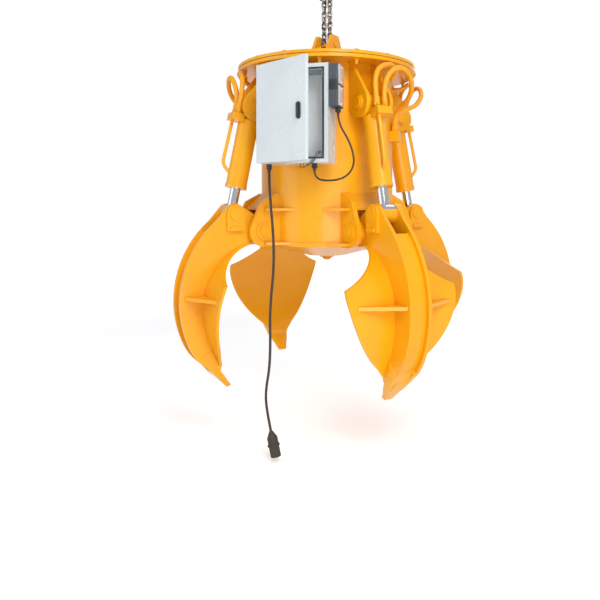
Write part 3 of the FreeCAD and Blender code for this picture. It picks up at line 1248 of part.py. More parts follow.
seal_outer = block("seal_outer", ("box_left + seal_inset", "-box_front - door_gap + running_gap",
                                  "box_foot_up + seal_inset"),
                   ("box_right - seal_inset", "-box_front", "box_top_up - seal_inset"))
seal_hole = block("seal_hole", ("box_left + seal_inset + seal_width", "-box_front - 2 * door_gap",
                                "box_foot_up + seal_inset + seal_width"),
                  ("box_right - seal_inset - seal_width", "-box_front + door_gap",
                   "box_top_up - seal_inset - seal_width"))
keep(cut("seal_ring", seal_outer, seal_hole), "box_seal")

# the door in the frame of its hinge line: X along the closed door, -Y outward, Z up from the box's foot
door_place = FreeCAD.Placement(vector("box_left - door_hinge_radius - running_gap", "-box_front - door_gap",
                                      "box_foot_up"),
                               FreeCAD.Rotation(FreeCAD.Vector(0, 0, 1), -value("door_open")))
near = "(door_hinge_radius + running_gap)"
pan = block("door_pan", (near, "-door_depth", "0"), ("%s + box_width" % near, "0", "box_height"))
hollow = block("door_hollow", ("%s + box_sheet" % near, "-door_depth + box_sheet", "box_sheet"),
               ("%s + box_width - box_sheet" % near, "box_sheet", "box_height - box_sheet"))
knuckles = []
fixed = []
for level in ("box_height / 8", "box_height * 7 / 8"):
    for shift in ("-door_hinge_length", "door_hinge_length / 2"):
        start = "%s + %s" % (level, shift)
        knuckle = disc("door_knuckle", "door_hinge_radius", "door_hinge_length / 2 - running_gap",
                       start + (" + running_gap" if shift[0] == "d" else ""))
        knuckles.append(knuckle)
        wing = block("door_wing", ("0", "-door_hinge_radius", start + (" + running_gap" if shift[0] == "d" else "")),
                     (near + " + box_sheet", "-door_hinge_radius + box_sheet",
                      start + " + door_hinge_length / 2" + (" - running_gap" if shift[0] == "-" else "")))
        knuckles.append(wing)
keep(fuse("door", cut("door_shell", pan, hollow), *knuckles), "box_door", door_place)

hinges = []
hinge_x = "(box_left - door_hinge_radius - running_gap)"
for level in ("box_foot_up + box_height / 8", "box_foot_up + box_height * 7 / 8"):
    barrel = disc("hinge_barrel", "door_hinge_radius", "door_hinge_length", "%s - door_hinge_length / 2" % level,
                  hinge_x, "-box_front - door_gap")
    leaf = block("hinge_leaf", (hinge_x, "-box_front - door_gap", "%s - door_hinge_length / 2" % level),
                 ("box_left", "-box_front + 2 * door_depth", "%s + door_hinge_length / 2" % level))
    hinges.append(fuse("hinge_welded", barrel, leaf))
keep(gather("hinge_set", *hinges), "door_hinges")

lock_x = "(%s + box_width - lock_edge)" % near
lock_z = "(box_height - lock_drop)"
lock_face = "(-door_depth - lock_plate)"
dish = block("lock_dish", ("%s - lock_width / 2" % lock_x, lock_face, "%s - lock_height / 2" % lock_z),
             ("%s + lock_width / 2" % lock_x, "-door_depth", "%s + lock_height / 2" % lock_z))
lever_hole = primitive("Cylinder", "lever_hole", Radius="lever_pin_radius + pin_clearance",
                       Height="2 * lock_plate")
lever_pin = primitive("Cylinder", "lever_pin", Radius="lever_pin_radius", Height="lever_plate + lock_plate / 2")
for pin, start in ((lever_hole, "-door_depth"), (lever_pin, "%s + lock_plate / 2" % lock_face)):
    pin.Placement.Rotation = FreeCAD.Rotation(FreeCAD.Vector(1, 0, 0), 90)
    bind(pin, "Placement.Base.x", lock_x)
    bind(pin, "Placement.Base.y", start)
    bind(pin, "Placement.Base.z", lock_z)
keep(gather("lock_set", cut("lock_bored", dish, lever_hole)), "door_lock", door_place)
lever = block("lever", ("%s - lock_width / 2 + lever_inset" % lock_x,
                        "%s - running_gap - lever_plate" % lock_face,
                        "%s - lock_height / 2 + lever_inset" % lock_z),
              ("%s + lock_width / 2 - lever_inset" % lock_x, "%s - running_gap" % lock_face,
               "%s + lock_height / 2 - lever_inset" % lock_z))
keep(gather("lever_set", fuse("lever_welded", lever, lever_pin)), "lock_lever", door_place)

# heavy connector on the box's right side: fixed half above, plug half below it
base_top = "(box_top_up - connector_top_drop)"
base_foot = "(%s - connector_base_height)" % base_top
hood_top = "(%s - connector_gap)" % base_foot
hood_foot = "(%s - connector_hood_height)" % hood_top
near_y = "(-box_front + connector_front)"
far_y = "(%s + connector_depth)" % near_y
outer_x = "(box_right + connector_reach)"


def housing(name, foot, top):
    """One half of the connector: its plan has rounded outer corners."""
    shape = plate(name, "XY", [
        ("box_right", near_y),
        (outer_x + " - connector_corner", near_y),
        (outer_x, near_y + " + connector_corner", "connector_corner"),
        (outer_x, far_y + " - connector_corner"),
        (outer_x + " - connector_corner", far_y, "connector_corner"),
        ("box_right", far_y),
    ], "%s - %s" % (top, foot), "(%s + %s) / 2" % (top, foot))
    return shape


keep(housing("base", base_foot, base_top), "connector_base")
keep(housing("hood", hood_foot, hood_top), "connector_hood")

lead_mouth = ("box_right + lead_gland_out", "-box_front + lead_gland_back", hood_foot + " - gland_drop")
box_mouth = ("box_gland_out", "-box_front + box_gland_back", "box_foot_up - gland_drop")
supply_mouth = ("-supply_gland_out", "-box_front + supply_gland_back", "box_foot_up - gland_drop")
glands = []
for mouth in (lead_mouth, box_mouth, supply_mouth):
    glands.append(hexagon("gland", "gland_hex_radius", "gland_drop", mouth[2], mouth[0], mouth[1]))
keep(gather("gland_set", *glands), "cable_glands")


def from_mouth(mouth, diameter, steps):
    """Route points from a gland's mouth, each step counted in cord diameters from the mouth."""
    start = vector(*mouth)
    unit = value(diameter)
    points = [(start.x, start.y, start.z)]
    for dx, dy, dz in steps:
        points.append((start.x + dx * unit, start.y + dy * unit, start.z + dz * unit))
    return points


# the lead drops from the connector, swings out to the right and comes back under the box
lead_steps = [
    (0, 0, -2.7),
    (1.6, -0.2, -7.8),
    (5.0, -0.8, -13.0),
    (7.3, -1.4, -18.1),
    (8.7, -2.0, -23.0),
    (8.6, -2.5, -27.2),
    (7.0, -2.8, -30.6),
    (4.2, -2.8, -33.0),
    (0.6, -2.7, -34.2),
    (-3.0, -2.4, -34.6),
    (-6.6, -2.0, -34.5),
    (-9.1, -1.7, -34.05),
    (-11.1, -1.5, -32.75),
]
lead_route = from_mouth(lead_mouth, "lead_diameter", lead_steps)
lead_end = vector(*box_mouth)
lead_route.append((lead_end.x, lead_end.y, lead_end.z - 2.4 * value("lead_diameter")))
lead_route.append((lead_end.x, lead_end.y, lead_end.z))
keep(tube("lead", lead_route, "lead_diameter"), "connector_lead")

# the supply cable hangs free, with the slow bends that a stiff cable keeps from its drum
supply_steps = [
    (0, 0, -5.4),
    (1.08, -1.0, -14.3),
    (2.77, -2.9, -24.7),
    (3.68, -4.77, -35.9),
    (2.99, -5.94, -46.9),
    (2.69, -6.3, -54.9),
    (2.79, -6.04, -62.9),
    (2.28, -5.5, -72.7),
    (0.48, -4.97, -81.6),
    (0.73, -4.57, -88.3),
    (2.27, -4.17, -96.2),
]
supply_route = from_mouth(supply_mouth, "supply_diameter", supply_steps)
keep(tube("supply", supply_route, "supply_diameter"), "supply_cable")
end = FreeCAD.Vector(*supply_route[-1])
lean = end - FreeCAD.Vector(*supply_route[-2])
supply_plug = turned_body("supply_plug", [
    ("0", "0"),
    ("supply_diameter / 2 + plug_ring / 2", "0"),
    ("plug_radius", "plug_tail"),
    ("plug_radius", "plug_length / 2"),
    ("plug_radius + plug_ring", "plug_length / 2 + plug_ring"),
    ("plug_radius + plug_ring", "plug_length / 2 + 2 * plug_ring"),
    ("plug_radius", "plug_length / 2 + 3 * plug_ring"),
    ("plug_radius", "plug_length"),
    ("plug_radius - plug_ring", "plug_length"),
    ("plug_radius - plug_ring", "plug_length * 3 / 4"),
    ("0", "plug_length * 3 / 4"),
])
keep(supply_plug, "cable_plug", FreeCAD.Placement(end, FreeCAD.Rotation(FreeCAD.Vector(0, 0, 1), lean)))

# --- check and write --------------------------------------------------------------------------------------
doc.recompute()
for obj in doc.Objects:
    if any(word in obj.State for word in ("Invalid", "Error")):
        raise RuntimeError("%s does not recompute: %s" % (obj.Name, obj.State))
os.makedirs("parts", exist_ok=True)
total = 0
for obj in NODES:
    shape = obj.Shape
    if shape.isNull() or not shape.isValid():
        raise RuntimeError("%s has no valid shape" % obj.Label)
    shape.exportStep("parts/%s.step" % obj.Label)
    count = len(shape.copy().tessellate(0.5)[1])
    total += count
    box = shape.BoundBox
    print("%-16s solids %2d  facets %5d  x %6.0f %6.0f  y %6.0f %6.0f  z %6.0f %6.0f"
          % (obj.Label, len(shape.Solids), count, box.XMin, box.XMax, box.YMin, box.YMax, box.ZMin, box.ZMax))
print("%d nodes, %d facets" % (len(NODES), total))
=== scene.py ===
import math
import bpy
import bmesh
from mathutils import Matrix, Vector


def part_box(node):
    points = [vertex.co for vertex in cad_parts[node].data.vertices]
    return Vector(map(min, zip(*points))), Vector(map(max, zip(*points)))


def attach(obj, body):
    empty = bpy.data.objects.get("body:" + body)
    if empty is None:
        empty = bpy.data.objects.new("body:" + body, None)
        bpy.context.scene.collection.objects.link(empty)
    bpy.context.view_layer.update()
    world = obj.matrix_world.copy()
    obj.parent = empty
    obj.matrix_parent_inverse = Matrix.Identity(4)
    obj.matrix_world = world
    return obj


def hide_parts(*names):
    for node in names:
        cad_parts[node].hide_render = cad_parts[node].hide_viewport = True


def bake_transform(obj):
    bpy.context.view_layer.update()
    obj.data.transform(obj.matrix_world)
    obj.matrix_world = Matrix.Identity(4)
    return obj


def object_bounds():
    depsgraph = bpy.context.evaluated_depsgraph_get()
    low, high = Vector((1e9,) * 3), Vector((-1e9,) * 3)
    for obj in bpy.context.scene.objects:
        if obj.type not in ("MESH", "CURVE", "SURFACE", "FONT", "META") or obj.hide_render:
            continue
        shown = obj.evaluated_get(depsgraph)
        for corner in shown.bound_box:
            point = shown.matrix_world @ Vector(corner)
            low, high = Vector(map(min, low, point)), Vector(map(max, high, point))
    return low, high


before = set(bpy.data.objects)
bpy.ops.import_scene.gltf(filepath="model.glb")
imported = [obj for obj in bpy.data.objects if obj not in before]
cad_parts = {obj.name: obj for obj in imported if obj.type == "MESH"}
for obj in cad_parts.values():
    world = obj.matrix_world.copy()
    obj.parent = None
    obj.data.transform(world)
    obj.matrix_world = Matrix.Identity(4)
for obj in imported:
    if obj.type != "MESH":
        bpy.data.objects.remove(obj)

cad_box = [list(corner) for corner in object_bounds()]

# ---- viewpoint ---------------------------------------------------------------------------------
# The grab is seen as a person on the yard sees it while it hangs from the crane: from the box's side,
# a little to the right of it, with a normal lens.
bpy.ops.object.camera_add(location=(1.010, -3.593, -1.368), rotation=(math.radians(90), 0, math.radians(15.7)))
eye_level = bpy.context.object
eye_level.data.lens = 37.3
eye_level.data.sensor_width = 36
eye_level.data.shift_x = -0.045
eye_level.data.shift_y = -0.157
bpy.context.scene.camera = eye_level
bpy.context.scene.view_settings.view_transform = "Standard"


# ---- supply cable ------------------------------------------------------------------------------
# Rubber-sheathed supply cable, 14 mm, from the gland under the box straight down to its plug.
# The sheath is extruded neoprene: dull, near black, with faint drawing marks along it and road dust.
def linear(code):
    parts = [int(code[i:i + 2], 16) / 255 for i in (1, 3, 5)]
    return [c / 12.92 if c < 0.04045 else ((c + 0.055) / 1.055) ** 2.4 for c in parts] + [1]


def add(tree, kind, settings, inputs):
    node = tree.nodes.new(kind)
    for key, setting in settings.items():
        setattr(node, key, setting)
    for key, given in inputs.items():
        if isinstance(given, bpy.types.NodeSocket):
            tree.links.new(given, node.inputs[key])
        else:
            node.inputs[key].default_value = linear(given) if isinstance(given, str) else given
    return node


def finish_named(name, metallic, coat=0.0):
    material = bpy.data.materials.new(name)
    material.use_nodes = True
    tree = material.node_tree
    shader = tree.nodes["Principled BSDF"]
    shader.inputs["Metallic"].default_value = metallic
    shader.inputs["Coat Weight"].default_value = coat
    shader.inputs["Coat Roughness"].default_value = 0.12
    return material, tree, shader, add(tree, "ShaderNodeTexCoord", {}, {}).outputs["Object"]


def coloured(tree, shader, factor, first, second):
    shade = add(tree, "ShaderNodeMix", {"data_type": "RGBA"}, {0: factor, 6: first, 7: second})
    tree.links.new(shade.outputs[2], shader.inputs["Base Color"])
    return shade.outputs[2]


def rough_and_raised(tree, shader, factor, low, high, height, depth):
    rough = add(tree, "ShaderNodeMapRange", {}, {"Value": factor, "To Min": low, "To Max": high})
    tree.links.new(rough.outputs["Result"], shader.inputs["Roughness"])
    raised = add(tree, "ShaderNodeBump", {}, {"Height": height, "Strength": 0.6, "Distance": depth})
    tree.links.new(raised.outputs["Normal"], shader.inputs["Normal"])


neoprene, tree, shader, place = finish_named("extruded_neoprene_sheath", 0)
dust = add(tree, "ShaderNodeTexNoise", {}, {"Vector": place, "Scale": 30, "Detail": 5})
grain = add(tree, "ShaderNodeTexNoise", {}, {"Vector": place, "Scale": 420, "Detail": 3})
coloured(tree, shader, dust.outputs["Fac"], "#241D1A", "#4A3E36")
rough_and_raised(tree, shader, dust.outputs["Fac"], 0.45, 0.75, grain.outputs["Fac"], 0.0006)


def line_along(name, points, thickness):
    curve = bpy.data.curves.new(name, "CURVE")
    curve.dimensions = "3D"
    spline = curve.splines.new("NURBS")
    spline.points.add(len(points) - 1)
    for point, where in zip(spline.points, points):
        point.co = (*[c / 1000 for c in where], 1)
    spline.order_u = 3
    spline.use_endpoint_u = True
    spline.resolution_u = 8
    curve.bevel_depth = thickness / 2000
    curve.bevel_resolution = 3
    curve.use_fill_caps = True
    piece = bpy.data.objects.new(name, curve)
    bpy.context.scene.collection.objects.link(piece)
    return piece


supply_points = [(-162, -542, -1177), (-162, -542, -1252.6), (-146.9, -556, -1377.2), (-123.2, -582.6, -1522.8),
                 (-110.5, -608.8, -1679.6), (-120.1, -625.2, -1833.6), (-124.3, -630.2, -1945.6),
                 (-122.9, -626.6, -2057.6), (-130.1, -619, -2194.8), (-155.3, -611.6, -2319.4),
                 (-151.8, -606, -2413.2), (-130.2, -600.4, -2523.8)]
supply = line_along("supply_cable_sheath", supply_points, 14)
supply.data.materials.append(neoprene)
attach(supply, "head")
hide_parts("supply_cable")

# ---- connector lead ----------------------------------------------------------------------------
# Control lead, 10 mm, from the heavy connector's gland in a slack loop to the gland under the box.
# The same extruded neoprene, worn a little shinier where it is handled.
lead_points = [(212, -546, -894.5), (212, -546, -921.5), (228, -548, -972.5), (262, -554, -1024.5),
               (285, -560, -1075.5), (299, -566, -1124.5), (298, -571, -1166.5), (282, -574, -1200.5),
               (254, -574, -1224.5), (218, -573, -1236.5), (182, -570, -1240.5), (146, -566, -1239.5),
               (121, -563, -1235), (101, -561, -1222), (91, -560, -1201), (91, -560, -1177)]
lead = line_along("connector_lead_sheath", lead_points, 10)
lead.data.materials.append(neoprene)
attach(lead, "head")
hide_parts("connector_lead")


# ---- plug and cable glands ---------------------------------------------------------------------
# Moulded rubber plug on the supply cable, and polyamide glands with hexagon heads: dark, dull, dusty.
def dress(material, *names):
    for name in names:
        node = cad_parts[name]
        node.data.materials.clear()
        node.data.materials.append(material)


dress(neoprene, "cable_plug")
polyamide, tree, shader, place = finish_named("glass_filled_polyamide", 0)
dust = add(tree, "ShaderNodeTexNoise", {}, {"Vector": place, "Scale": 60, "Detail": 4})
coloured(tree, shader, dust.outputs["Fac"], "#26282B", "#3C3D3E")
rough_and_raised(tree, shader, dust.outputs["Fac"], 0.4, 0.6, dust.outputs["Fac"], 0.0004)
dress(polyamide, "cable_glands")


# ---- sheath rings at the glands ----------------------------------------------------------------
# Tapered rubber sleeves where each cable leaves its gland, so that it does not kink there.
def rest_all():
    if bpy.context.object and bpy.context.object.mode != "OBJECT":
        bpy.ops.object.mode_set(mode="OBJECT")
    bpy.ops.object.select_all(action="DESELECT")


def settle(name, body, material, angle=35):
    piece = bpy.context.object
    piece.name = name
    bpy.ops.object.transform_apply(location=True, rotation=True, scale=True)
    bpy.ops.object.shade_smooth_by_angle(angle=math.radians(angle))
    piece.data.materials.clear()
    piece.data.materials.append(material)
    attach(piece, body)
    return piece


for name, x, y, z, radius in (("supply_sleeve", -0.162, -0.542, -1.177, 0.0105), ("lead_sleeve", 0.091, -0.560, -1.177, 0.008),
                              ("connector_sleeve", 0.212, -0.546, -0.8945, 0.008)):
    rest_all()
    bpy.ops.mesh.primitive_cone_add(vertices=24, radius1=radius * 0.78, radius2=radius, depth=0.016,
                                    location=(x, y, z - 0.008))
    bpy.ops.object.mode_set(mode="EDIT")
    bpy.ops.mesh.select_all(action="SELECT")
    bpy.ops.mesh.bevel(offset=0.001, segments=1)
    bpy.ops.object.mode_set(mode="OBJECT")
    settle(name, "head", neoprene)

# ---- chain -------------------------------------------------------------------------------------
# Two strands of short-link lifting chain on forged pins: welded round links of galvanised steel,
# weathered dull, with rust and old grease between the links.
galvanised, tree, shader, place = finish_named("weathered_galvanised_steel", 0.75)
spangle = add(tree, "ShaderNodeTexVoronoi", {}, {"Vector": place, "Scale": 110})
stain = add(tree, "ShaderNodeTexNoise", {}, {"Vector": place, "Scale": 55, "Detail": 6})
patch = add(tree, "ShaderNodeMapRange", {}, {"Value": stain.outputs["Fac"], "From Min": 0.42, "From Max": 0.62})
zinc = add(tree, "ShaderNodeMix", {"data_type": "RGBA"}, {0: spangle.outputs["Distance"], 6: "#8D8B86", 7: "#B4B1AA"})
coloured(tree, shader, patch.outputs["Result"], zinc.outputs[2], "#5B4A3A")
rough_and_raised(tree, shader, patch.outputs["Result"], 0.42, 0.78, stain.outputs["Fac"], 0.0008)
dress(galvanised, "chain_links")
forged, tree, shader, place = finish_named("forged_steel_scaled", 0.8)
scale_marks = add(tree, "ShaderNodeTexNoise", {}, {"Vector": place, "Scale": 70, "Detail": 7})
coloured(tree, shader, scale_marks.outputs["Fac"], "#55504A", "#8A8680")
rough_and_raised(tree, shader, scale_marks.outputs["Fac"], 0.4, 0.7, scale_marks.outputs["Fac"], 0.0008)
dress(forged, "suspension_eye")

# ---- enamelled steelwork -----------------------------------------------------------------------
# Drum, cover, brackets, lugs, jaws and cylinders: welded plate, blasted and sprayed with two coats
# of golden yellow alkyd enamel. Glossy, faintly waved where the welds pulled the plate, a little
# deeper in colour where the spray lay thin, and dusty in the corners.
enamel, tree, shader, place = finish_named("golden_yellow_alkyd_enamel", 0, 0.2)
shader.inputs["IOR"].default_value = 1.42
cloud = add(tree, "ShaderNodeTexNoise", {}, {"Vector": place, "Scale": 2.6, "Detail": 5, "Roughness": 0.55})
spread_out = add(tree, "ShaderNodeMapRange", {}, {"Value": cloud.outputs["Fac"], "From Min": 0.3, "From Max": 0.7})
base = add(tree, "ShaderNodeMix", {"data_type": "RGBA"}, {0: spread_out.outputs["Result"], 6: "#F3AB0A", 7: "#EC9F08"})
speck = add(tree, "ShaderNodeTexNoise", {}, {"Vector": place, "Scale": 24, "Detail": 8, "Roughness": 0.7})
dirty = add(tree, "ShaderNodeMapRange", {}, {"Value": speck.outputs["Fac"], "From Min": 0.6, "From Max": 0.8, "To Max": 0.35})
coloured(tree, shader, dirty.outputs["Result"], base.outputs[2], "#B0741A")
peel = add(tree, "ShaderNodeTexNoise", {}, {"Vector": place, "Scale": 75, "Detail": 2})
wave = add(tree, "ShaderNodeTexNoise", {}, {"Vector": place, "Scale": 7, "Detail": 1})
height = add(tree, "ShaderNodeMath", {"operation": "MULTIPLY_ADD"}, {0: wave.outputs["Fac"], 1: 6.0, 2: peel.outputs["Fac"]})
rough_and_raised(tree, shader, speck.outputs["Fac"], 0.24, 0.4, height.outputs["Value"], 0.0012)
corners = {"lf": 225, "rf": 315, "rb": 45, "lb": 135}
dress(enamel, "lifting_lugs", "top_cover", "drum_shell", "bottom_cone", "upper_brackets", "lower_brackets",
      "bracket_pins", "box_mounts", "power_pack", "hose_manifold", "flange_bolts", "drain_plug")
for corner in corners:
    dress(enamel, "jaw_shell_" + corner, "jaw_spine_" + corner, "jaw_tooth_" + corner, "rod_pin_" + corner,
          "barrel_" + corner, "port_block_" + corner)

# ---- piston rods -------------------------------------------------------------------------------
# Ground steel rods with hard chrome: mirror bright, with hair-fine polishing marks round them. The
# forged eye at the foot is welded on and was sprayed with the jaws, up to a masked line on the chrome.
chrome, tree, shader, place = finish_named("hard_chrome_ground_with_painted_eye", 1)
rings = add(tree, "ShaderNodeMapping", {}, {"Vector": place, "Scale": (1, 1, 40)})
marks = add(tree, "ShaderNodeTexNoise", {}, {"Vector": rings.outputs["Vector"], "Scale": 30, "Detail": 3})
plate_tone = add(tree, "ShaderNodeMix", {"data_type": "RGBA"}, {0: marks.outputs["Fac"], 6: "#C9CCD0", 7: "#E2E4E6"})
level = add(tree, "ShaderNodeSeparateXYZ", {}, {"Vector": place})
eye_top = (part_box("rod_pin_rf")[0][2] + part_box("rod_pin_rf")[1][2]) / 2 + 0.053
masked = add(tree, "ShaderNodeMapRange", {}, {"Value": level.outputs["Z"], "From Min": eye_top - 0.001, "From Max": eye_top + 0.001})
coloured(tree, shader, masked.outputs["Result"], "#EFA50A", plate_tone.outputs[2])
tree.links.new(masked.outputs["Result"], shader.inputs["Metallic"])
rough_and_raised(tree, shader, masked.outputs["Result"], 0.45, 0.12, marks.outputs["Fac"], 0.0002)
for corner in corners:
    dress(chrome, "rod_" + corner)

# ---- hydraulic hoses ---------------------------------------------------------------------------
# Two-wire braid hoses, 28 mm, sprayed over in the same yellow. The rubber cover lets the wrapping
# cloth's weave show, and the paint on it is duller than on steel.
sprayed, tree, shader, place = finish_named("rubber_hose_sprayed_yellow", 0)
weave = add(tree, "ShaderNodeTexNoise", {}, {"Vector": place, "Scale": 160, "Detail": 3})
thin = add(tree, "ShaderNodeTexNoise", {}, {"Vector": place, "Scale": 14, "Detail": 5})
coloured(tree, shader, thin.outputs["Fac"], "#F8AE16", "#E8980E")
rough_and_raised(tree, shader, thin.outputs["Fac"], 0.38, 0.58, weave.outputs["Fac"], 0.0012)
loop_points = [(421.9, 387.2, -834.5), (413.0, 378.4, -774.2), (430.3, 373.2, -688.9), (475.1, 328.4, -630.1),
               (522.7, 266.8, -641.3), (542.3, 202.4, -702.9), (517.1, 140.8, -767.3), (474.0, 87.6, -792.5),
               (433.1, 41.4, -823.3), (412, 21, -875.8), (412, 21, -936)]
return_points = [(387.3, 421.8, -834.5), (378.5, 413, -774.2), (374, 402, -705), (385, 378, -645), (420, 335, -616),
                 (448, 280, -612), (452, 225, -628), (428, 176, -658), (395, 159.6, -668), (361.6, 146.1, -668)]


def turned_piece(profile, start, direction, sides):
    """A turned piece: its half profile, in millimetres as radius and height, spun about its axis."""
    rest_all()
    blank = bpy.data.meshes.new("turned")
    blank.from_pydata([(r / 1000, 0, h / 1000) for r, h in profile], [(i, i + 1) for i in range(len(profile) - 1)], [])
    piece = bpy.data.objects.new("turned", blank)
    bpy.context.scene.collection.objects.link(piece)
    piece.select_set(True)
    bpy.context.view_layer.objects.active = piece
    bpy.ops.object.mode_set(mode="EDIT")
    bpy.ops.mesh.select_all(action="SELECT")
    bpy.ops.mesh.spin(steps=sides, angle=math.tau, center=(0, 0, 0), axis=(0, 0, 1))
    bpy.ops.mesh.select_all(action="SELECT")
    bpy.ops.mesh.remove_doubles(threshold=0.00002)
    bpy.ops.mesh.normals_make_consistent(inside=False)
    bpy.ops.object.mode_set(mode="OBJECT")
    piece.location = start
    piece.rotation_mode = "QUATERNION"
    piece.rotation_quaternion = Vector(direction).to_track_quat("Z", "Y")
    bpy.ops.object.transform_apply(location=True, rotation=True, scale=True)
    return piece


def joined(name, pieces, body, material, angle=35):
    rest_all()
    for piece in pieces:
        piece.select_set(True)
    bpy.context.view_layer.objects.active = pieces[0]
    if len(pieces) > 1:
        bpy.ops.object.join()
    return settle(name, body, material, angle)


nut = [(0, 0), (18, 0), (18.5, 1), (18.5, 13), (18, 14), (0, 14)]
ferrule = [(0, 13), (15.5, 13), (16.8, 15), (16.8, 22), (15.8, 23), (15.8, 25), (16.8, 26), (16.8, 33), (15.8, 34),
           (15.8, 36), (16.8, 37), (16.8, 46), (15.2, 48), (0, 48)]
for corner, azimuth in corners.items():
    east = 1 if corner in ("rf", "rb") else -1
    north = 1 if corner in ("rb", "lb") else -1
    ends = {"head": [], "barrel": []}
    for kind, given, hose_length in (("loop", loop_points, 0.744), ("return", return_points, 0.507)):
        points = [(east * x, north * y, z) for x, y, z in given]
        route = line_along("hose_line", points, 28)
        thick = bpy.data.meshes.new_from_object(route)
        route.data.bevel_depth = 0
        thread = bpy.data.meshes.new_from_object(route)
        path = [tuple(v.co) for v in thread.vertices]
        bpy.data.objects.remove(route)
        hose = bpy.data.objects.new(kind + "_hose_" + corner, thick)
        bpy.context.scene.collection.objects.link(hose)
        rest_all()
        hose.select_set(True)
        bpy.context.view_layer.objects.active = hose
        bpy.ops.object.shade_smooth_by_angle(angle=math.radians(40))
        hose.data.materials.clear()
        hose.data.materials.append(sprayed)
        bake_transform(hose)
        if kind == "loop":
            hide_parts("hose_" + corner)
        rise = Vector(path[1]) - Vector(path[0])
        back = Vector(path[-2]) - Vector(path[-1])
        near = Vector(path[0]) - rise.normalized() * 0.014
        ends["barrel"] += [turned_piece(nut, near, rise, 6), turned_piece(ferrule, near, rise, 20)]
        ends["head"] += [turned_piece(nut, path[-1], back, 6), turned_piece(ferrule, path[-1], back, 20)]
    joined("port_ferrules_" + corner, ends["barrel"], "barrel_%s_body" % corner, enamel)
    joined("drum_ferrules_" + corner, ends["head"], "head", enamel)

# ---- control box -------------------------------------------------------------------------------
# Folded sheet-steel enclosure with a pan door, powder-coated light grey, and a zinc-plated
# mounting plate inside. Powder coat has a fine orange peel and a soft shine.
powder, tree, shader, place = finish_named("light_grey_powder_coat", 0)
soil = add(tree, "ShaderNodeTexNoise", {}, {"Vector": place, "Scale": 6, "Detail": 6})
soft = add(tree, "ShaderNodeMapRange", {}, {"Value": soil.outputs["Fac"], "From Min": 0.45, "From Max": 0.8, "To Max": 0.6})
coloured(tree, shader, soft.outputs["Result"], "#CDD6D8", "#BEC6C8")
pebble = add(tree, "ShaderNodeTexNoise", {}, {"Vector": place, "Scale": 260, "Detail": 2})
rough_and_raised(tree, shader, soil.outputs["Fac"], 0.2, 0.34, pebble.outputs["Fac"], 0.0003)
dress(powder, "control_box", "box_door")
plated, tree, shader, place = finish_named("bright_zinc_plate", 0.1)
streak = add(tree, "ShaderNodeTexNoise", {}, {"Vector": place, "Scale": 40, "Detail": 4})
coloured(tree, shader, streak.outputs["Fac"], "#FDFDFD", "#F2F3F4")
rough_and_raised(tree, shader, streak.outputs["Fac"], 0.35, 0.55, streak.outputs["Fac"], 0.0002)
dress(plated, "mounting_plate", "door_hinges")
foam, tree, shader, place = finish_named("foamed_door_seal", 0)
cells = add(tree, "ShaderNodeTexNoise", {}, {"Vector": place, "Scale": 300, "Detail": 2})
coloured(tree, shader, cells.outputs["Fac"], "#2A2B2D", "#3C3E40")
rough_and_raised(tree, shader, cells.outputs["Fac"], 0.8, 0.95, cells.outputs["Fac"], 0.0006)
dress(foam, "box_seal")
# Fibre gasket between the top cover and the flange, sprayed over in the yellow. Its darker yellow is painted shade: it
# stands for the shade that falls in the gap between cover and flange.
sprayed_gasket_and_painted_shade, tree, shader, place = finish_named("fibre_gasket_sprayed_over_darkened_as_painted_shade", 0)
fibre = add(tree, "ShaderNodeTexNoise", {}, {"Vector": place, "Scale": 120, "Detail": 4})
coloured(tree, shader, fibre.outputs["Fac"], "#C98A18", "#A86E14")
rough_and_raised(tree, shader, fibre.outputs["Fac"], 0.5, 0.7, fibre.outputs["Fac"], 0.0005)
dress(sprayed_gasket_and_painted_shade, "cover_gasket")
dress(polyamide, "door_lock", "lock_lever")
diecast, tree, shader, place = finish_named("diecast_aluminium_grey", 0.2)
grains = add(tree, "ShaderNodeTexNoise", {}, {"Vector": place, "Scale": 90, "Detail": 4})
coloured(tree, shader, grains.outputs["Fac"], "#43484E", "#5A6067")
rough_and_raised(tree, shader, grains.outputs["Fac"], 0.42, 0.6, grains.outputs["Fac"], 0.0005)
dress(diecast, "connector_base", "connector_hood")


# ---- connector side plate and levers -----------------------------------------------------------
# The heavy connector's outer cheek is a bare die-cast cover with two screws, bright grey where it was
# tumbled, and two levers at the parting line lock the hood to its base.
def block_at(low, high, edge):
    """A block between two corners, in millimetres, with its edges broken."""
    rest_all()
    middle = [(a + b) / 2000 for a, b in zip(low, high)]
    bpy.ops.mesh.primitive_cube_add(size=1, location=middle)
    piece = bpy.context.object
    piece.scale = [(b - a) / 1000 for a, b in zip(low, high)]
    bpy.ops.object.transform_apply(location=True, rotation=True, scale=True)
    bpy.ops.object.mode_set(mode="EDIT")
    bpy.ops.mesh.select_all(action="SELECT")
    bpy.ops.mesh.bevel(offset=edge / 1000, segments=3)
    bpy.ops.object.mode_set(mode="OBJECT")
    return piece


bare_cast, tree, shader, place = finish_named("tumbled_diecast_aluminium", 0.6)
tumbled = add(tree, "ShaderNodeTexNoise", {}, {"Vector": place, "Scale": 150, "Detail": 4})
coloured(tree, shader, tumbled.outputs["Fac"], "#F4F2F2", "#DCDADA")
rough_and_raised(tree, shader, tumbled.outputs["Fac"], 0.3, 0.5, tumbled.outputs["Fac"], 0.0003)
screw = [(0, 0), (5, 0), (5.5, 1), (5.5, 3), (4.6, 4), (2.4, 4), (2.2, 2.4), (0, 2.4)]
cheek = [block_at((225.5, -592, -755), (229.5, -492, -659), 1.4), block_at((225.5, -592, -864.5), (229.5, -492, -764.5), 1.4)]
for height in (-0.670, -0.744, -0.776, -0.853):
    cheek.append(turned_piece(screw, (0.2292, -0.542, height), (1, 0, 0), 12))
joined("connector_cheek", cheek, "head", bare_cast)
levers = []
for front, back in ((-602.5, -597.5), (-486.5, -481.5)):
    levers += [block_at((180, front, -785), (222, back, -735), 2), block_at((184, front - 3, -764), (218, back + 3, -756), 1.6)]
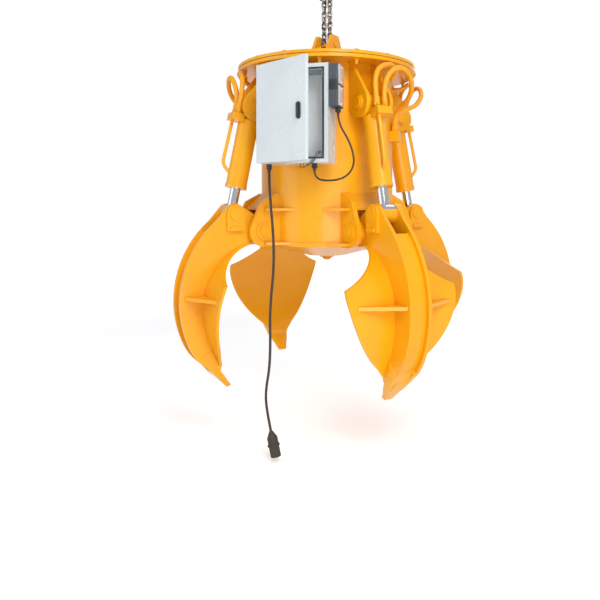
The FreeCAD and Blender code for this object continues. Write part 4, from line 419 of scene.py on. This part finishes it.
joined("connector_levers", levers, "head", polyamide)

# ---- lock dish ---------------------------------------------------------------------------------
# Moulded polyamide swing-handle dish with round ends, let into the door, with a rim and a sunk middle.
door_turn = Matrix.Rotation(math.radians(-29), 4, "Z")
rest_all()
bpy.ops.mesh.primitive_cylinder_add(vertices=32, radius=0.0125, depth=0.010)
dish = bpy.context.object
bpy.ops.object.mode_set(mode="EDIT")
shape = bmesh.from_edit_mesh(dish.data)
for corner_point in shape.verts:
    corner_point.co.y += 0.0285 if corner_point.co.y > 1e-5 else -0.0285
for face in shape.faces:
    face.select_set(face.normal.z > 0.9)
bmesh.update_edit_mesh(dish.data)
bpy.ops.mesh.inset(thickness=0.0028, depth=0)
bpy.ops.mesh.inset(thickness=0.0012, depth=-0.0035)
bpy.ops.object.mode_set(mode="OBJECT")
edge = dish.modifiers.new("edge", "BEVEL")
edge.width, edge.segments, edge.limit_method, edge.angle_limit = 0.0007, 2, "ANGLE", math.radians(50)
bpy.ops.object.modifier_apply(modifier="edge")
low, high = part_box("door_lock")
place_at = Vector([(a + b) / 2 for a, b in zip(low, high)])
dish.matrix_world = Matrix.Translation(place_at) @ door_turn @ Matrix.Rotation(math.radians(90), 4, "X")
settle("lock_dish", "door", polyamide)
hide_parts("door_lock")

# ---- control wires -----------------------------------------------------------------------------
# Loose stranded wires, 3 mm, in soft PVC: they come out over the box's lower lip and go back in
# through the knock-outs underneath. PVC is smooth with a dull shine.
pvc, tree, shader, place = finish_named("soft_pvc_wire_cover", 0)
rubbed = add(tree, "ShaderNodeTexNoise", {}, {"Vector": place, "Scale": 90, "Detail": 3})
coloured(tree, shader, rubbed.outputs["Fac"], "#2E2A33", "#514A55")
rough_and_raised(tree, shader, rubbed.outputs["Fac"], 0.35, 0.5, rubbed.outputs["Fac"], 0.0002)
for number, (start, foot, drop, run) in enumerate(((136, 44, 0, 0.17), (124, 28, 7, 0.182), (139, 60, -6, 0.155)), 1):
    wire_points = [(start, -586, -1098 + drop / 2), (start, -600, -1094 + drop / 2), (start - 6, -614, -1102),
                   (start - 20, -617, -1122 - drop / 2), (start * 0.6 + foot * 0.4, -618, -1146 - drop / 2),
                   (start * 0.35 + foot * 0.65, -616, -1164 - drop), (foot + 8, -608, -1172 - drop),
                   (foot, -596, -1168 - drop / 2), (foot, -592, -1151)]
    wire = line_along("lip_wire_%d" % number, wire_points, 3.4)
    wire.data.materials.append(pvc)
    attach(wire, "head")

# ---- cast teeth --------------------------------------------------------------------------------
# Cast manganese steel tips, welded to the shells: the pattern's edges are rounded, and the point is
# blunt. Sprayed with the jaws.
for corner in corners:
    rest_all()
    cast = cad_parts["jaw_tooth_" + corner].copy()
    cast.data = cast.data.copy()
    bpy.context.scene.collection.objects.link(cast)
    cast.select_set(True)
    bpy.context.view_layer.objects.active = cast
    bpy.ops.object.mode_set(mode="EDIT")
    bpy.ops.mesh.select_all(action="SELECT")
    bpy.ops.mesh.remove_doubles(threshold=0.00002)
    bpy.ops.mesh.dissolve_limited(angle_limit=math.radians(3))
    bpy.ops.object.mode_set(mode="OBJECT")
    blend = cast.modifiers.new("cast_edges", "BEVEL")
    blend.width, blend.segments, blend.limit_method, blend.angle_limit = 0.008, 3, "ANGLE", math.radians(28)
    bpy.ops.object.modifier_apply(modifier="cast_edges")
    settle("cast_tooth_" + corner, "jaw_%s_body" % corner, enamel, 50)
    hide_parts("jaw_tooth_" + corner)


# ---- weld beads --------------------------------------------------------------------------------
# Hand-laid fillet welds, 8 mm, where the brackets' plates stand on the drum, painted over with the
# rest. Each bead shows the ripples of its stacked drops.
def bead_along(points, thickness=9, pitch=4):
    """A rippled bead through these points, in millimetres, as a mesh."""
    curve = bpy.data.curves.new("bead", "CURVE")
    curve.dimensions = "3D"
    run = []
    for near, far in zip(points, points[1:]):
        near, far = Vector(near), Vector(far)
        count = max(1, round((far - near).length / pitch))
        run += [near.lerp(far, i / count) for i in range(count)]
    run.append(Vector(points[-1]))
    spline = curve.splines.new("POLY")
    spline.points.add(len(run) - 1)
    for i, (point, where) in enumerate(zip(spline.points, run)):
        point.co = (*[c / 1000 for c in where], 1)
        point.radius = (1.0, 0.8)[i % 2]
    curve.bevel_depth = thickness / 2000
    curve.bevel_resolution = 1
    curve.use_fill_caps = True
    line = bpy.data.objects.new("bead", curve)
    bpy.context.scene.collection.objects.link(line)
    bead = bpy.data.objects.new("bead", bpy.data.meshes.new_from_object(line))
    bpy.data.objects.remove(line)
    bpy.context.scene.collection.objects.link(bead)
    return bead


drum_radius = 390
for corner, azimuth in corners.items():
    out = Vector((math.cos(math.radians(azimuth)), math.sin(math.radians(azimuth)), 0))
    side = Vector((-out.y, out.x, 0))
    beads = []
    for lateral, top, foot in ((82, -600, -845), (125, -1306, -1586)):
        for sign in (-1, 1):
            reach = math.sqrt(drum_radius ** 2 - lateral ** 2)
            root = out * reach + side * sign * lateral
            beads.append(bead_along([root + Vector((0, 0, top)), root + Vector((0, 0, foot))]))
    joined("weld_beads_" + corner, beads, "head", enamel, 60)

# ---- studio ------------------------------------------------------------------------------------
# A plain pale floor under the hanging grab, a white surround and three large soft lamps.
rest_all()
bpy.ops.mesh.primitive_plane_add(size=90, location=(0, 0, cad_box[0][2] - 0.02))
floor = bpy.context.object
floor.name = "floor"
pale, tree, shader, place = finish_named("pale_matt_floor", 0)
shader.inputs["Base Color"].default_value = linear("#F4F4F2")
shader.inputs["Roughness"].default_value = 0.9
ray = add(tree, "ShaderNodeLightPath", {}, {})
away = add(tree, "ShaderNodeVectorMath", {"operation": "LENGTH"}, {0: place})
rise = add(tree, "ShaderNodeMapRange", {}, {"Value": away.outputs["Value"], "From Min": 3.5, "From Max": 9.0, "To Min": 0.3, "To Max": 0.7})
lift = add(tree, "ShaderNodeEmission", {}, {"Color": "#FFFFFF", "Strength": rise.outputs["Result"]})
lit = add(tree, "ShaderNodeAddShader", {}, {0: shader.outputs["BSDF"], 1: lift.outputs["Emission"]})
bare = add(tree, "ShaderNodeMixShader", {}, {0: ray.outputs["Is Camera Ray"], 1: shader.outputs["BSDF"], 2: lit.outputs["Shader"]})
white = add(tree, "ShaderNodeEmission", {}, {"Color": "#FFFFFF", "Strength": 1.0})
seen = add(tree, "ShaderNodeMixShader", {}, {0: ray.outputs["Is Glossy Ray"], 1: bare.outputs["Shader"], 2: white.outputs["Emission"]})
tree.links.new(seen.outputs["Shader"], tree.nodes["Material Output"].inputs["Surface"])
floor.data.materials.append(pale)
world = bpy.data.worlds.new("white_surround")
bpy.context.scene.world = world
world.use_nodes = True
tree = world.node_tree
ray = add(tree, "ShaderNodeLightPath", {}, {})
backdrop = tree.nodes["Background"]
backdrop.inputs["Color"].default_value = linear("#F7F9FF")
backdrop.inputs["Strength"].default_value = 0.58
white = add(tree, "ShaderNodeBackground", {}, {"Color": "#FFFFFF", "Strength": 1.0})
seen = add(tree, "ShaderNodeMixShader", {}, {0: ray.outputs["Is Camera Ray"], 1: backdrop.outputs["Background"], 2: white.outputs["Background"]})
tree.links.new(seen.outputs["Shader"], tree.nodes["World Output"].inputs["Surface"])
for name, where, power, size in (("key", (2.4, -3.9, 1.7), 135, 2.0), ("fill", (-3.6, -3.0, -0.4), 42, 3.5),
                                 ("low", (1.6, -3.2, -2.5), 62, 2.4), ("back", (0.5, 3.6, 1.5), 60, 3.0)):
    bpy.ops.object.light_add(type="AREA", location=where)
    lamp = bpy.context.object
    lamp.name = name
    lamp.data.energy = power
    lamp.data.size = size
    lamp.rotation_euler = (Vector((0, 0, -1.3)) - Vector(where)).to_track_quat("-Z", "Y").to_euler()
